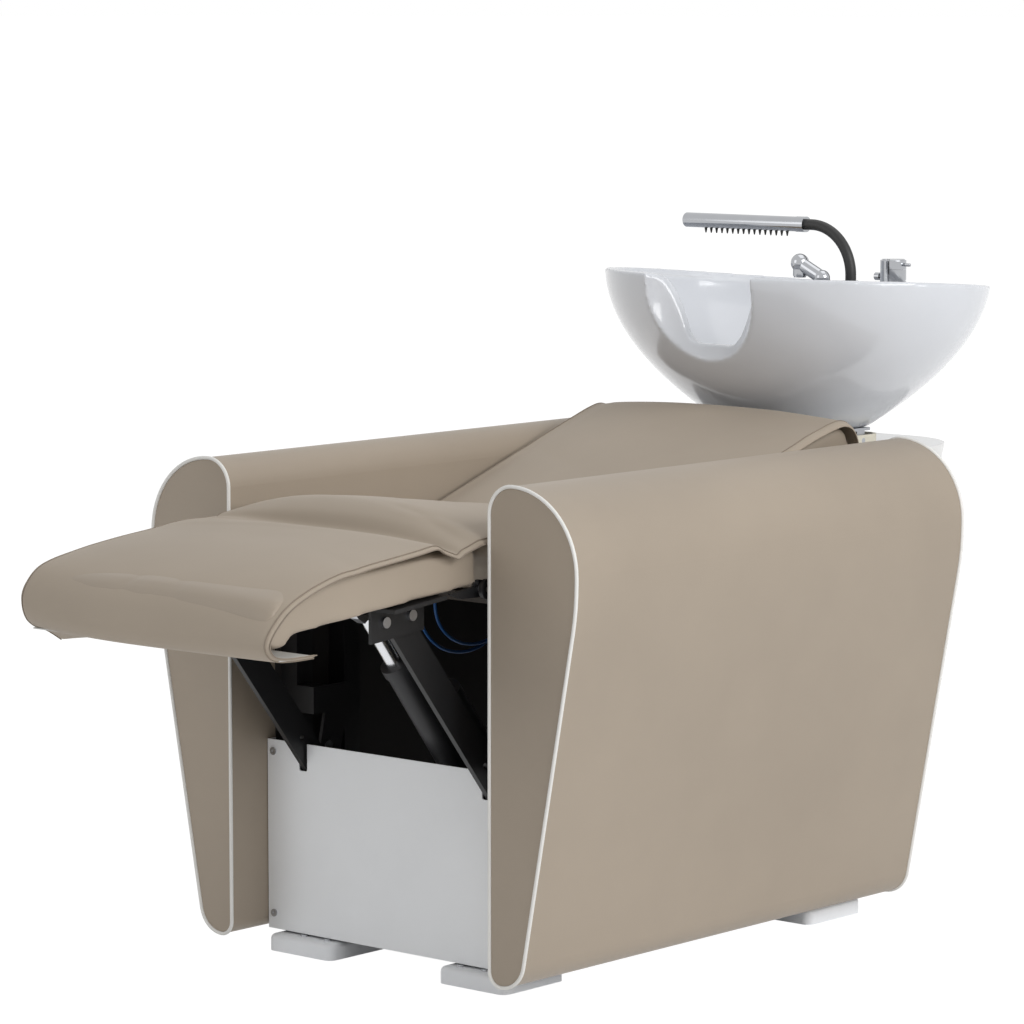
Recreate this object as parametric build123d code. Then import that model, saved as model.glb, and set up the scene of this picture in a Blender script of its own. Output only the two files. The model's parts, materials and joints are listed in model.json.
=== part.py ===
from build123d import *
from math import atan2, cos, degrees, hypot, pi, radians, sin
import os

os.makedirs("parts", exist_ok=True)

# The bed stands on the floor at z 0. The sitter looks along -Y, with the leg rest at -Y and the
# basin at +Y. The origin is the middle of the four floor fixings. All sizes are in millimetres.

# Upholstered sides
inner_width = 456.0
side_length = 818.0
side_thickness = 142.4
side_top = 659.0
side_bottom = 24.4
side_shoulder_height = 490.3
side_foot_width = 50.6
side_inner_radius = 37.2
side_outer_radius = 105.0
side_shoulder_radius = 350.0
side_toe_radius = 37.8
side_heel_radius = 18.9
piping_radius = 2.4
piping_gap = 0.3

# Feet and floor fixings
foot_width = 115.5
foot_depth = 120.0
foot_height = 22.0
foot_round = 7.0
foot_corner = 12.0
front_foot_inset = 94.5
rear_foot_inset = 127.0
foot_row_spacing = 596.0
anchor_spacing = 350.0
anchor_radius = 5.5
anchor_head_radius = 11.0
anchor_head_depth = 8.0
foot_screw_radius = 3.0
foot_screw_head_radius = 5.0
foot_screw_head_height = 2.0
foot_screw_setback = 20.0
foot_screw_pitch = 42.0
foot_screw_shift = 13.0

# Steel frame
rail_width = 30.0
rail_height = 40.0
rail_wall = 2.5
cross_width = 40.0
upright_width = 30.0
seat_rail_height = 30.0
frame_front_setback = 12.0
upright_setback = 28.0
middle_upright_y = -204.0
rear_upright_y = 330.0
front_cross_y = -248.0
middle_cross_y = 60.0
bolt_radius = 4.0
bolt_head_radius = 7.0
bolt_head_height = 4.0
bolt_clear = 0.05

# Front panel of painted sheet steel
panel_setback = 71.4
sheet = 2.0
panel_side_gap = 1.2
panel_low_gap = 0.5
panel_height = 255.7
panel_round = 3.0
slot_width = 14.7
slot_depth = 36.8
panel_screw_edge = 10.6
panel_screw_low = 21.1
panel_screw_high = 15.8
panel_screw_radius = 2.5
panel_screw_head_radius = 5.2
panel_screw_head_height = 1.6
socket_radius = 2.0
socket_depth = 1.0

# Rear panel and its mains inlet
rear_panel_setback = 14.0
rear_panel_height = 430.0
inlet_width = 48.0
inlet_height = 28.0
inlet_depth = 18.0
inlet_socket_width = 24.0
inlet_socket_height = 16.0
inlet_socket_depth = 12.0
inlet_x = -150.0
inlet_z = 120.0

# Seat
seat_board_thickness = 12.0
seat_board_low = 503.0
seat_side_gap = 3.0
seat_front = -399.0
seat_board_front = -372.0
seat_nose_rise = 32.0
seat_edge_front_top = 589.0
seat_edge_rear_top = 562.0
seat_crown_front = 30.0
seat_crown_rear = 14.0
seat_draw_in = 5.0
seat_corner_radius = 14.0
seat_gap = 1.6

# Backrest, laid back on its brackets
back_angle = 18.7
back_start_y = -20.0
back_start_z = 564.0
back_length = 396.0
back_thickness = 60.0
back_crown = 10.0
back_draw_in = 4.0
back_top_radius = 34.0
back_corner_radius = 10.0
back_board_thickness = 12.0
back_board_length = 372.0
back_board_inset = 14.0
back_side_gap = 3.0
cover_thickness = 2.4
cover_gap = 0.6
back_cover_start = 60.0
back_cover_drop = 26.0
bracket_thickness = 6.0
bracket_start_y = 40.0
bracket_end_y = 300.0
bracket_window = 12.0

# Leg rest
hinge_y = -398.5
hinge_z = 526.3
leg_half_width = 213.0
leg_rear = -403.0
leg_nose = -788.0
leg_under_rear = 529.5
leg_under_front = 500.0
leg_under_front_y = -733.0
leg_lip_y = -752.0
leg_lip_z = 483.0
leg_nose_top = 541.0
leg_shoulder_y = -640.0
leg_shoulder_z = 572.5
leg_crease_y = -456.0
leg_crease_z = 578.0
leg_rear_top = 584.0
leg_crown = 7.0
leg_rear_crown = 20.0
leg_draw_in = 3.0
leg_nose_radius = 34.0
leg_lip_radius = 16.0
leg_small_radius = 8.0
leg_soft_radius = 240.0
leg_crease_radius = 14.0
leg_board_thickness = 12.0
leg_board_inset = 8.0
leg_board_rear_inset = 6.0
leg_board_front = -725.0
leg_board_gap = 0.3
cover_overhang = 6.5
flap_length = 80.0
flap_thickness = 3.0

# Leg rest hinge
hinge_pin_radius = 5.0
hinge_fit = 0.05
knuckle_radius = 11.0
knuckle_thickness = 6.0
knuckle_inset = 13.0
knuckle_length = 58.0
hinge_plate_thickness = 6.0
hinge_plate_gap = 1.0
hinge_plate_radius = 13.0
hinge_plate_drop = 24.0
pin_head_radius = 8.0
pin_head_height = 3.0

# Swing arms of the leg rest
arm_x = 161.7
arm_thickness = 8.0
arm_width = 41.0
arm_low_y = -306.1
arm_low_z = 242.8
arm_angle = 128.6
arm_length = 372.0
arm_bolt_down = 60.0
flange_thickness = 5.0
flange_width = 44.0
flange_length = 96.0
flange_leg = 46.0

# Guide brackets beside the swing arms
guide_thickness = 5.0
guide_gap = 2.0
guide_width = 36.0
guide_low_y = -282.0
guide_low_z = 262.0
guide_high_z = 352.0

# Linear actuator
actuator_x = 52.5
base_pivot_y = -258.8
base_pivot_z = 240.7
rod_pivot_y = -456.7
rod_pivot_z = 499.9
actuator_pin_radius = 5.0
actuator_tube_radius = 17.0
actuator_tube_start = 30.0
actuator_tube_length = 190.0
actuator_cap_length = 14.0
actuator_cap_radius = 19.0
rod_radius = 10.0
rod_fit = 0.05
rod_tail = 96.0
rod_end_width = 26.0
rod_end_length = 46.0
rod_end_thickness = 14.0
open_pivot_side_play = 8.5
open_pivot_end_play = 3.5
motor_radius = 24.0
motor_length = 96.0
motor_offset = 46.0
gearbox_width = 44.0
gearbox_length = 46.0
base_eye_radius = 13.0
base_eye_width = 20.0
clevis_thickness = 5.0
clevis_gap = 1.0
clevis_radius = 13.0
actuator_cross_y = -204.0
actuator_cross_z = 211.3
actuator_cross_size = 30.0

# Control box and its two leads
control_box_y = -150.0
control_box_length = 110.0
control_box_width = 150.0
control_box_height = 34.0
control_box_x = 10.0
control_box_round = 4.0
gland_radius = 5.0
lead_radius = 2.2
lead_outer_x = 2.0
lead_inner_x = 18.0
lead_bend_share = 0.45
lead_clip_size = 16.0

# Column behind the seat
column_front = 400.0
column_top = 628.0
column_low = 46.0
column_half_width = 185.0
column_rear = 705.0
column_corner = 120.0
column_front_corner = 12.0
column_low_half_width = 118.0
column_low_rear = 560.0
column_low_corner = 60.0
column_wall = 4.0
column_mouth_width = 150.0
column_mouth_depth = 84.0
column_mouth_corner = 20.0
post_size = 60.0
post_wall = 3.0
post_y = 455.0
column_arm_x = 40.0
column_arm_gap = 3.0
head_plate_thickness = 8.0
head_plate_width = 236.0
head_plate_front = 425.0
head_plate_rear = 585.0

# Cradle that carries the basin
cradle_half_width = 122.0
cradle_half_depth = 46.0
cradle_corner = 24.0
cradle_wall = 4.0
cradle_height = 18.0
cradle_pivot_rise = 10.0
pivot_pin_radius = 4.0
saddle_thickness = 4.0
saddle_gap = 1.0
saddle_depth = 44.0
saddle_rise = 8.0
basin_tilt_gap = 9.5

# Basin of glazed ceramic
basin_y = 515.0
basin_half_width = 294.0
basin_half_depth = 240.5
basin_base_share = 0.38
basin_front_height = 223.0
basin_middle_height = 212.0
basin_rear_height = 188.0
basin_wall = 13.0
basin_floor = 28.0
deck_drop = 9.0
bowl_floor_share = 0.36
bowl_half_width = 205.0
bowl_half_depth = 212.0
bowl_offset = -66.0
bowl_floor_shift = 14.0
neck_half_width = 95.0
neck_reach = 70.0
neck_height = 120.0
neck_centre = 195.0
neck_lip_height = 124.0
neck_mouth_half_width = 84.0
neck_mouth_low_radius = 56.0
drain_radius = 22.0
drain_tail_radius = 20.0
drain_tail_length = 60.0
drain_flange_radius = 32.0
drain_flange_thickness = 3.0
strainer_thickness = 2.0
strainer_hole_radius = 2.2
strainer_ring_share = 0.6

# Taps on the basin's deck
handset_x = 155.0
handset_y = 371.0
hose_x = 172.0
hose_y = 414.0
mixer_x = 171.5
mixer_y = 514.0
collar_radius = 17.0
collar_height = 5.0
collar_depth = 42.0
stem_radius = 11.0
stem_fit = 0.1
stem_length = 40.0
handset_rise = 31.0
handset_shoulder = 7.0
handset_lean = 38.5
handset_neck_radius = 9.6
handset_head_radius = 13.0
spray_radius = 9.8
spray_height = 20.0
spray_hole_radius = 1.0
spray_ring_radius = 7.0
hose_radius = 7.6
hose_bend_radius = 68.0
ferrule_radius = 11.0
ferrule_height = 9.0
ferrule_depth = 24.0
swivel_fit = 0.1
bar_radius = 10.5
bar_height = 947.0
bar_length = 215.0
bar_cap_length = 16.0
bar_cap_extra = 0.5
nozzle_radius = 2.4
nozzle_tip_radius = 0.9
nozzle_length = 6.8
nozzle_count = 16
nozzle_start_share = 0.167
nozzle_end_share = 0.844
mixer_radius = 18.5
mixer_body_height = 26.0
mixer_cap_height = 13.0
mixer_cap_gap = 0.4
mixer_spindle_radius = 7.0
mixer_shank_radius = 15.0
mixer_shank_length = 44.0
lever_radius = 2.3
lever_length = 11.0
lever_seat = 6.0
groove_depth = 1.0
groove_width = 1.4
groove_count = 4
diverter_radius = 6.5
diverter_length = 8.0
diverter_stem_radius = 3.0
diverter_stem_length = 14.0
diverter_travel = 4.0
diverter_height = 15.0
cap_lid_height = 1.2
cap_lid_inset = 2.5
tap_seat_margin = 2.0
tap_seat_depth = 1.5

# One overrun serves every cut
overrun = 60.0

# Places worked out from the driving sizes
side_face = inner_width / 2
side_outer = side_face + side_thickness
half_length = side_length / 2
seat_rail_low = seat_board_low - seat_rail_height
seat_board_top = seat_board_low + seat_board_thickness
cradle_low = column_top
pivot_z = cradle_low + cradle_pivot_rise
basin_base = pivot_z + basin_tilt_gap + saddle_rise
back_up = radians(back_angle)
leg_slope = atan2(leg_under_rear - leg_under_front, leg_rear - leg_under_front_y)


def save(name, shape):
    """Write one node, whole, to its own file."""
    solids = shape.solids()
    whole = solids[0] if len(solids) == 1 else Compound(children=list(solids))
    export_step(whole, f"parts/{name}.step")


def block(x0, x1, y0, y1, z0, z1):
    """A box between two corners."""
    return Pos((x0 + x1) / 2, (y0 + y1) / 2, (z0 + z1) / 2) * Box(x1 - x0, y1 - y0, z1 - z0)


def rod_x(x0, x1, y, z, radius):
    """A round bar along X."""
    return Pos((x0 + x1) / 2, y, z) * Rot(0, 90, 0) * Cylinder(radius, x1 - x0)


def rod_z(x, y, z0, z1, radius):
    """A round bar along Z."""
    return Pos(x, y, (z0 + z1) / 2) * Cylinder(radius, z1 - z0)


def rod_y(x, y0, y1, z, radius):
    """A round bar along Y."""
    return Pos(x, (y0 + y1) / 2, z) * Rot(90, 0, 0) * Cylinder(radius, y1 - y0)


def outline_yz(points, radii, x):
    """A filleted outline drawn in Y and Z, as a face at x."""
    line = FilletPolyline(*points, radius=radii, close=True)
    return Pos(x, 0, 0) * (Plane.YZ * make_face(line))


def plate(points, radii, x0, x1):
    """A plate of that outline between two x values."""
    return extrude(outline_yz(points, radii, x0), amount=x1 - x0, dir=(1, 0, 0))


def polygon(points, x0, x1):
    """A sharp cornered plate between two x values."""
    face = Pos(x0, 0, 0) * (Plane.YZ * make_face(Polyline(*points, close=True)))
    return extrude(face, amount=x1 - x0, dir=(1, 0, 0))


def mirrored(shape):
    """The same piece on the other side."""
    return mirror(shape, about=Plane.YZ)


def both(shape):
    """A piece and its mirror image, as one group."""
    return Compound(children=[*shape.solids(), *mirrored(shape).solids()])


def tube_between(x, start, end, radius):
    """A round bar in a plane of constant x, from one (y, z) to another."""
    plane = Plane(origin=(x, start[0], start[1]), z_dir=(0, end[0] - start[0], end[1] - start[1]))
    return extrude(plane * Circle(radius), amount=hypot(end[0] - start[0], end[1] - start[1]))


# Upholstered sides with their piping


def side_corners():
    """Corner points of a side in X and Z, with the radius of each."""
    points = [
        (side_face, side_bottom),
        (side_face, side_top),
        (side_outer, side_top),
        (side_outer, side_bottom + side_shoulder_height),
        (side_face + side_foot_width, side_bottom),
    ]
    radii = [side_heel_radius, side_inner_radius, side_outer_radius]
    return points, radii + [side_shoulder_radius, side_toe_radius]


def side_line(y):
    """The outline of a side, as a wire at y."""
    points, radii = side_corners()
    flat = FilletPolyline(*points, radius=radii, close=True)
    return Plane(origin=(0, y, 0), x_dir=(1, 0, 0), z_dir=(0, -1, 0)) * flat


def piping_loop(y, radius):
    """A welt of piping round one end of a side."""
    path = side_line(y)
    start = path.edges()[0] @ 0
    along = path.edges()[0] % 0
    section = Plane(origin=start, z_dir=along) * Circle(radius)
    return sweep(section, path=path)


def make_sides():
    end = half_length - piping_radius
    face = make_face(side_line(end))
    body = extrude(face, amount=2 * end, dir=(0, -1, 0))
    loops = []
    for y in (-end, end):
        loops += piping_loop(y, piping_radius).solids()
        body -= piping_loop(y, piping_radius + piping_gap)
    body = body.solids().sort_by(SortBy.VOLUME)[-1]
    piping = Compound(children=loops)
    save("side_right", body)
    save("side_left", mirrored(body))
    save("side_piping", both(piping))


make_sides()


# Feet, with the four floor fixings through them


def foot_x(inset):
    """Middle of a foot across the bed."""
    return inset + foot_width / 2


def foot_body(x, y):
    body = Pos(x, y, foot_height / 2) * Box(foot_width, foot_depth, foot_height)
    body = fillet(body.edges().filter_by(Axis.Z), foot_corner)
    body = fillet(body.faces().sort_by(Axis.Z)[-1].edges(), foot_round)
    side = 1 if x > 0 else -1
    hole_x = side * anchor_spacing / 2
    hole_y = foot_row_spacing / 2 * (1 if y > 0 else -1)
    body -= rod_z(hole_x, hole_y, -overrun, overrun, anchor_radius)
    body -= rod_z(hole_x, hole_y, foot_height - anchor_head_depth, overrun, anchor_head_radius)
    for screw_x in foot_screw_places(x):
        body -= rod_z(screw_x, foot_screw_y(y), -overrun, overrun, foot_screw_radius + bolt_clear)
    return body


def foot_screw_places(x):
    side = 1 if x > 0 else -1
    middle = abs(x) - foot_screw_shift
    return [side * (middle - foot_screw_pitch / 2), side * (middle + foot_screw_pitch / 2)]


def foot_screw_y(y):
    """The screws of a foot stand in a row near its front edge."""
    return y - foot_depth / 2 + foot_screw_setback


def make_feet():
    front_y = -foot_row_spacing / 2
    rear_y = foot_row_spacing / 2
    front_x = foot_x(front_foot_inset)
    rear_x = foot_x(rear_foot_inset)
    places = [(front_x, front_y), (-front_x, front_y), (rear_x, rear_y), (-rear_x, rear_y)]
    head_top = foot_height + foot_screw_head_height
    feet = []
    screws = []
    for x, y in places:
        feet += foot_body(x, y).solids()
        for screw_x in foot_screw_places(x):
            screw_y = foot_screw_y(y)
            screw = rod_z(screw_x, screw_y, foot_round, foot_height, foot_screw_radius)
            screw += rod_z(screw_x, screw_y, foot_height, head_top, foot_screw_head_radius)
            screw -= rod_z(screw_x, screw_y, head_top - socket_depth, overrun, socket_radius)
            screws += screw.solids()
    save("feet", Compound(children=feet))
    save("foot_screws", Compound(children=screws))


make_feet()


# Welded steel frame: base rails, cross members, uprights and seat rails


def box_tube(x0, x1, y0, y1, z0, z1, along):
    """A rectangular tube, open along X, Y or Z."""
    body = block(x0, x1, y0, y1, z0, z1)
    w = rail_wall
    if along == "Y":
        return body - block(x0 + w, x1 - w, y0 - overrun, y1 + overrun, z0 + w, z1 - w)
    if along == "X":
        return body - block(x0 - overrun, x1 + overrun, y0 + w, y1 - w, z0 + w, z1 - w)
    return body - block(x0 + w, x1 - w, y0 + w, y1 - w, z0 - overrun, z1 + overrun)


frame_front = -half_length + panel_setback + sheet + frame_front_setback
frame_rear = half_length - rear_panel_setback - sheet
frame_top = foot_height + rail_height
rail_inner = side_face - rail_width
panel_flange = sheet + frame_front_setback
front_upright_y = frame_front + upright_setback
upright_rows = [front_upright_y, middle_upright_y, rear_upright_y]


def make_frame():
    rail = box_tube(rail_inner, side_face, frame_front, frame_rear, foot_height, frame_top, "Y")
    base = rail + mirrored(rail)
    for y in (front_cross_y, middle_cross_y, rear_upright_y):
        y0 = y - cross_width / 2
        y1 = y + cross_width / 2
        base += box_tube(-rail_inner, rail_inner, y0, y1, foot_height, frame_top, "X")
    arm_start = rear_upright_y + cross_width / 2
    arm_end = post_y + post_size / 2
    arm_left = column_arm_x - rail_width / 2
    arm_right = column_arm_x + rail_width / 2
    arm = box_tube(arm_left, arm_right, arm_start, arm_end, foot_height, frame_top, "Y")
    save("base_frame", base + arm + mirrored(arm))
    posts = []
    for y in upright_rows:
        y0 = y - upright_width / 2
        y1 = y + upright_width / 2
        post = box_tube(rail_inner, side_face, y0, y1, frame_top, seat_rail_low, "Z")
        posts += both(post).solids()
    save("uprights", Compound(children=posts))
    seat_rail = box_tube(
        rail_inner, side_face, seat_board_front, frame_rear, seat_rail_low, seat_board_low, "Y"
    )
    save("seat_rails", both(seat_rail))


make_frame()


# Front panel, rear panel and their screws


def panel_screw_places():
    x = side_face - panel_side_gap - panel_screw_edge
    low = side_bottom + panel_low_gap
    heights = (low + panel_screw_low, low + panel_height - panel_screw_high)
    return [(side * x, z) for side in (-1, 1) for z in heights]


def make_front_panel():
    x = side_face - panel_side_gap
    front = -half_length + panel_setback
    low = side_bottom + panel_low_gap
    high = low + panel_height
    body = block(-x, x, front, front + sheet, low, high)
    body += block(-x, -x + sheet, front, front + panel_flange, low, high)
    body += block(x - sheet, x, front, front + panel_flange, low, high)
    body = body.solids()[0]
    for side in (-1, 1):
        centre = side * arm_x
        x0 = centre - slot_width / 2
        x1 = centre + slot_width / 2
        slot = block(x0, x1, front - overrun, front + overrun, high - slot_depth, high + overrun)
        slot = fillet(slot.edges().filter_by(Axis.Y).sort_by(Axis.Z)[:2], panel_round)
        body -= slot
    for x_screw, z in panel_screw_places():
        body -= rod_y(x_screw, front - overrun, front + sheet + overrun, z, panel_screw_radius + bolt_clear)
    save("front_panel", body)
    screws = []
    for x_screw, z in panel_screw_places():
        head_front = front - panel_screw_head_height
        screw = rod_y(x_screw, head_front, front, z, panel_screw_head_radius)
        screw += rod_y(x_screw, front, front + panel_flange, z, panel_screw_radius)
        screw -= rod_y(x_screw, head_front - overrun, head_front + socket_depth, z, socket_radius)
        screws += screw.solids()
    save("front_panel_screws", Compound(children=screws))


make_front_panel()


# Rear panel with the bare mains inlet


def make_rear_panel():
    x = side_face - panel_side_gap
    low = side_bottom + panel_low_gap
    body = block(-x, x, frame_rear, frame_rear + sheet, low, low + rear_panel_height)
    x0 = inlet_x - inlet_width / 2
    x1 = inlet_x + inlet_width / 2
    z0 = inlet_z - inlet_height / 2
    z1 = inlet_z + inlet_height / 2
    wall = inlet_height / 2 - inlet_socket_height / 2
    hole = block(x0 + wall, x1 - wall, -overrun, frame_rear + overrun, z0 + wall, z1 - wall)
    body -= hole
    arm_edge = column_arm_x + rail_width / 2 + column_arm_gap
    body -= block(-arm_edge, arm_edge, -overrun, frame_rear + overrun, 0, frame_top + column_arm_gap)
    save("rear_panel", body)
    back = frame_rear + sheet
    inlet = block(x0, x1, back, back + sheet, z0, z1)
    inlet += block(x0 + wall, x1 - wall, back - inlet_depth, back, z0 + wall, z1 - wall)
    half = inlet_socket_width / 2
    rise = inlet_socket_height / 2 - sheet
    front = back + sheet - inlet_socket_depth
    left = inlet_x - half
    inlet -= block(left, left + 2 * half, front, back + overrun, inlet_z - rise, inlet_z + rise)
    save("mains_inlet", inlet)


make_rear_panel()


# Seat board and seat cushion, crowned across its width


def crowned(profile, half_width, draw_in, share_steps):
    """A cushion lofted across the bed through its profiles, one for each share of the width."""
    sections = []
    for share, crown_share, shrink_share in share_steps:
        sections.append(profile(share * half_width, crown_share, shrink_share * draw_in))
    return loft(sections)


# Each step is a share of the half width, of the crown, and of the draw-in
cushion_step_shares = [
    (-1, 0, 1),
    (-0.93, 0.2, 0.4),
    (-0.75, 0.5, 0.06),
    (-0.4, 0.85, 0),
    (0, 1, 0),
    (0.4, 0.85, 0),
    (0.75, 0.5, 0.06),
    (0.93, 0.2, 0.4),
    (1, 0, 1),
]


def seat_profile(x, crown, shrink):
    """Seat cushion outline at x, its top raised by a share of the crown."""
    front_top = seat_edge_front_top + crown * seat_crown_front - shrink
    rear_top = seat_edge_rear_top + crown * seat_crown_rear - shrink
    low = seat_board_top
    lean = seat_gap / cos(back_up)
    rear_low_y = back_start_y + (back_start_z - low) * sin(back_up) / cos(back_up) - lean - shrink
    rear_high_y = back_start_y + (back_start_z - rear_top) * sin(back_up) / cos(back_up) - lean - shrink
    points = [
        (seat_board_front + shrink, low),
        (seat_board_front + shrink, low + seat_nose_rise),
        (seat_front + shrink, low + seat_nose_rise + seat_nose_rise / 2),
        (seat_front + shrink, front_top),
        (rear_high_y, rear_top),
        (rear_low_y, low),
    ]
    small = seat_corner_radius / 2
    radii = [small / 2, small / 2, small, seat_corner_radius, small, small / 2]
    return outline_yz(points, radii, x)


def make_seat():
    half = side_face - seat_side_gap
    rear_y = back_start_y + (back_start_z - seat_board_low) * sin(back_up) / cos(back_up)
    rear_y -= 3 * seat_gap / cos(back_up)
    board = block(-half, half, seat_board_front, rear_y, seat_board_low, seat_board_top)
    save("seat_board", board)
    cushion = crowned(seat_profile, half, seat_draw_in, cushion_step_shares)
    save("seat_cushion", cushion)


make_seat()


# Backrest, its board and its two brackets


def back_point(along, up):
    """A point of the backrest, from lengths along it and square to it."""
    y = back_start_y + along * cos(back_up) - up * sin(back_up)
    z = back_start_z + along * sin(back_up) + up * cos(back_up)
    return (y, z)


def back_profile(x, crown, shrink):
    """Backrest cushion outline at x."""
    rise = crown * back_crown - shrink
    points = [
        back_point(shrink, -back_thickness),
        back_point(shrink, rise),
        back_point(back_length - shrink, rise),
        back_point(back_length - shrink, -back_thickness),
    ]
    small = back_corner_radius
    return outline_yz(points, [small / 2, small, back_top_radius, small], x)


def back_cover_profile(x, crown, grow):
    """Outline of the sheet over the backrest, at a height over the cushion."""
    rise = crown * back_crown + grow
    points = [
        back_point(back_cover_start, -back_thickness),
        back_point(back_cover_start, rise),
        back_point(back_length + grow, rise),
        back_point(back_length + grow, -back_thickness),
    ]
    small = back_corner_radius
    return outline_yz(points, [small / 2, small / 2, back_top_radius + grow, small], x)


def back_shell(half, grow):
    """The backrest's outline grown evenly, as wide as the cover."""
    sections = []
    for share, crown_share, _ in cushion_step_shares:
        sections.append(back_cover_profile(share * half, crown_share, grow))
    return loft(sections)


def make_backrest():
    half = side_face - back_side_gap - seat_draw_in
    cushion = crowned(back_profile, half, back_draw_in, cushion_step_shares)
    save("backrest_cushion", cushion)
    cover_half = side_face - back_side_gap
    outer = back_shell(cover_half, cover_gap + cover_thickness)
    inner = back_shell(cover_half, cover_gap)
    cover = outer - inner
    start = back_point(back_cover_start + back_corner_radius, -back_cover_drop)
    keep_points = [
        start,
        back_point(back_cover_start + back_corner_radius, overrun),
        back_point(back_length + overrun, overrun),
        back_point(back_length + overrun, -back_cover_drop),
    ]
    cover &= polygon(keep_points, -side_face, side_face)
    save("backrest_cover", cover)
    low = -back_thickness - back_board_thickness
    board_points = [
        back_point(back_board_inset, low),
        back_point(back_board_inset, -back_thickness),
        back_point(back_board_inset + back_board_length, -back_thickness),
        back_point(back_board_inset + back_board_length, low),
    ]
    board = polygon(board_points, -rail_inner + back_board_inset, rail_inner - back_board_inset)
    save("backrest_board", board)
    make_back_brackets(low)


def make_back_brackets(low):
    """Triangular plates that hold the backrest's board over the seat rails."""
    ends = []
    for y in (bracket_start_y, bracket_end_y):
        along = (y - back_start_y + low * sin(back_up)) / cos(back_up)
        ends.append((y, back_point(along, low)[1]))
    points = [(bracket_start_y, seat_board_low), ends[0], ends[1], (bracket_end_y, seat_board_low)]
    x1 = rail_inner - back_board_inset
    plate_one = polygon(points, x1 - bracket_thickness, x1)
    edge = bracket_window
    inner_start = bracket_start_y + (bracket_end_y - bracket_start_y) / 2
    slope = (ends[1][1] - ends[0][1]) / (bracket_end_y - bracket_start_y)
    window = [
        (inner_start, seat_board_low + edge),
        (inner_start, ends[0][1] + slope * (inner_start - bracket_start_y) - edge),
        (bracket_end_y - edge, ends[1][1] - slope * edge - edge),
        (bracket_end_y - edge, seat_board_low + edge),
    ]
    plate_one -= polygon(window, x1 - bracket_thickness - overrun, x1 + overrun)
    seat_top = seat_board_low + bracket_thickness
    flange = block(x1, side_face, bracket_start_y, bracket_end_y, seat_board_low, seat_top)
    plate_one += flange
    save("backrest_brackets", both(plate_one))


make_backrest()


# Leg rest: board, cushion, cover and front flap, drawn raised


def under_z(y):
    """Height of the leg rest's underside at y."""
    return leg_under_rear + (y - leg_rear) * sin(leg_slope) / cos(leg_slope)


def leg_points(crown, grow):
    """Corner points of the leg rest's outline, with the radius of each."""
    top = crown * leg_crown + grow
    rear_top = crown * leg_rear_crown + grow
    points = [
        (leg_rear, leg_under_rear),
        (leg_rear, leg_rear_top + rear_top),
        (leg_crease_y, leg_crease_z + top),
        (leg_shoulder_y, leg_shoulder_z + top),
        (leg_nose - grow, leg_nose_top + top),
        (leg_nose - grow, leg_lip_z - grow),
        (leg_lip_y, leg_lip_z - grow),
        (leg_under_front_y, leg_under_front),
    ]
    radii = [leg_small_radius, leg_crease_radius, leg_crease_radius, leg_soft_radius]
    radii += [leg_nose_radius, leg_lip_radius, leg_small_radius, leg_small_radius]
    return points, radii


def leg_profile(x, crown, shrink):
    points, radii = leg_points(crown, -shrink)
    return outline_yz(points, radii, x)


def leg_cover_profile(x, crown, grow):
    """Outline of the cover: it runs on past the cushion behind and below."""
    points, radii = leg_points(crown, grow)
    points[0] = (leg_rear, leg_lip_z - grow)
    points[6:] = []
    radii[6:] = []
    return outline_yz(points, radii, x)


def leg_shell(half, grow):
    """The cover's outline grown evenly, crowned like the cushion."""
    sections = []
    for share, crown_share, _ in cushion_step_shares:
        sections.append(leg_cover_profile(share * half, crown_share, grow))
    return loft(sections)


def board_points(y0, y1, up0, up1):
    """A strip that lies along the underside, between two heights over it."""
    return [
        (y0, under_z(y0) + up0),
        (y0, under_z(y0) + up1),
        (y1, under_z(y1) + up1),
        (y1, under_z(y1) + up0),
    ]


def make_leg_rest():
    rear = leg_rear - leg_board_rear_inset
    half = leg_half_width - leg_board_inset
    board = polygon(board_points(leg_board_front, rear, 0, leg_board_thickness), -half, half)
    save("legrest_board", board)
    cushion = crowned(leg_profile, leg_half_width, leg_draw_in, cushion_step_shares)
    gap = leg_board_gap
    pocket_points = board_points(leg_board_front - gap, rear + gap, -overrun, leg_board_thickness + gap)
    cushion -= polygon(pocket_points, -half - gap, half + gap)
    save("legrest_cushion", cushion)
    cover_half = leg_half_width + cover_overhang
    cover = leg_shell(cover_half, cover_gap + cover_thickness) - leg_shell(cover_half, cover_gap)
    cut_low = leg_rear_top - leg_crease_radius
    open_points = [
        (leg_lip_y, leg_lip_z - overrun),
        (leg_lip_y, leg_lip_z + leg_small_radius),
        (leg_crease_y, leg_crease_z - leg_crease_radius),
        (leg_rear - cover_gap, cut_low),
        (leg_rear - cover_gap, leg_rear_top + overrun),
        (leg_rear + overrun, leg_rear_top + overrun),
        (leg_rear + overrun, leg_lip_z - overrun),
    ]
    cover -= polygon(open_points, -side_face, side_face)
    cover = cover.solids().sort_by(SortBy.VOLUME)[-1]
    flap_top = leg_lip_z - cover_gap - cover_thickness
    flap_start = leg_nose + leg_lip_radius
    flap_end = leg_nose + flap_length
    cover += block(-cover_half, cover_half, flap_start, flap_end, flap_top - flap_thickness, flap_top)
    save("legrest_cover", cover)


make_leg_rest()


# Leg rest hinge: plates on the seat rails, pins, and knuckles under the board


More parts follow.
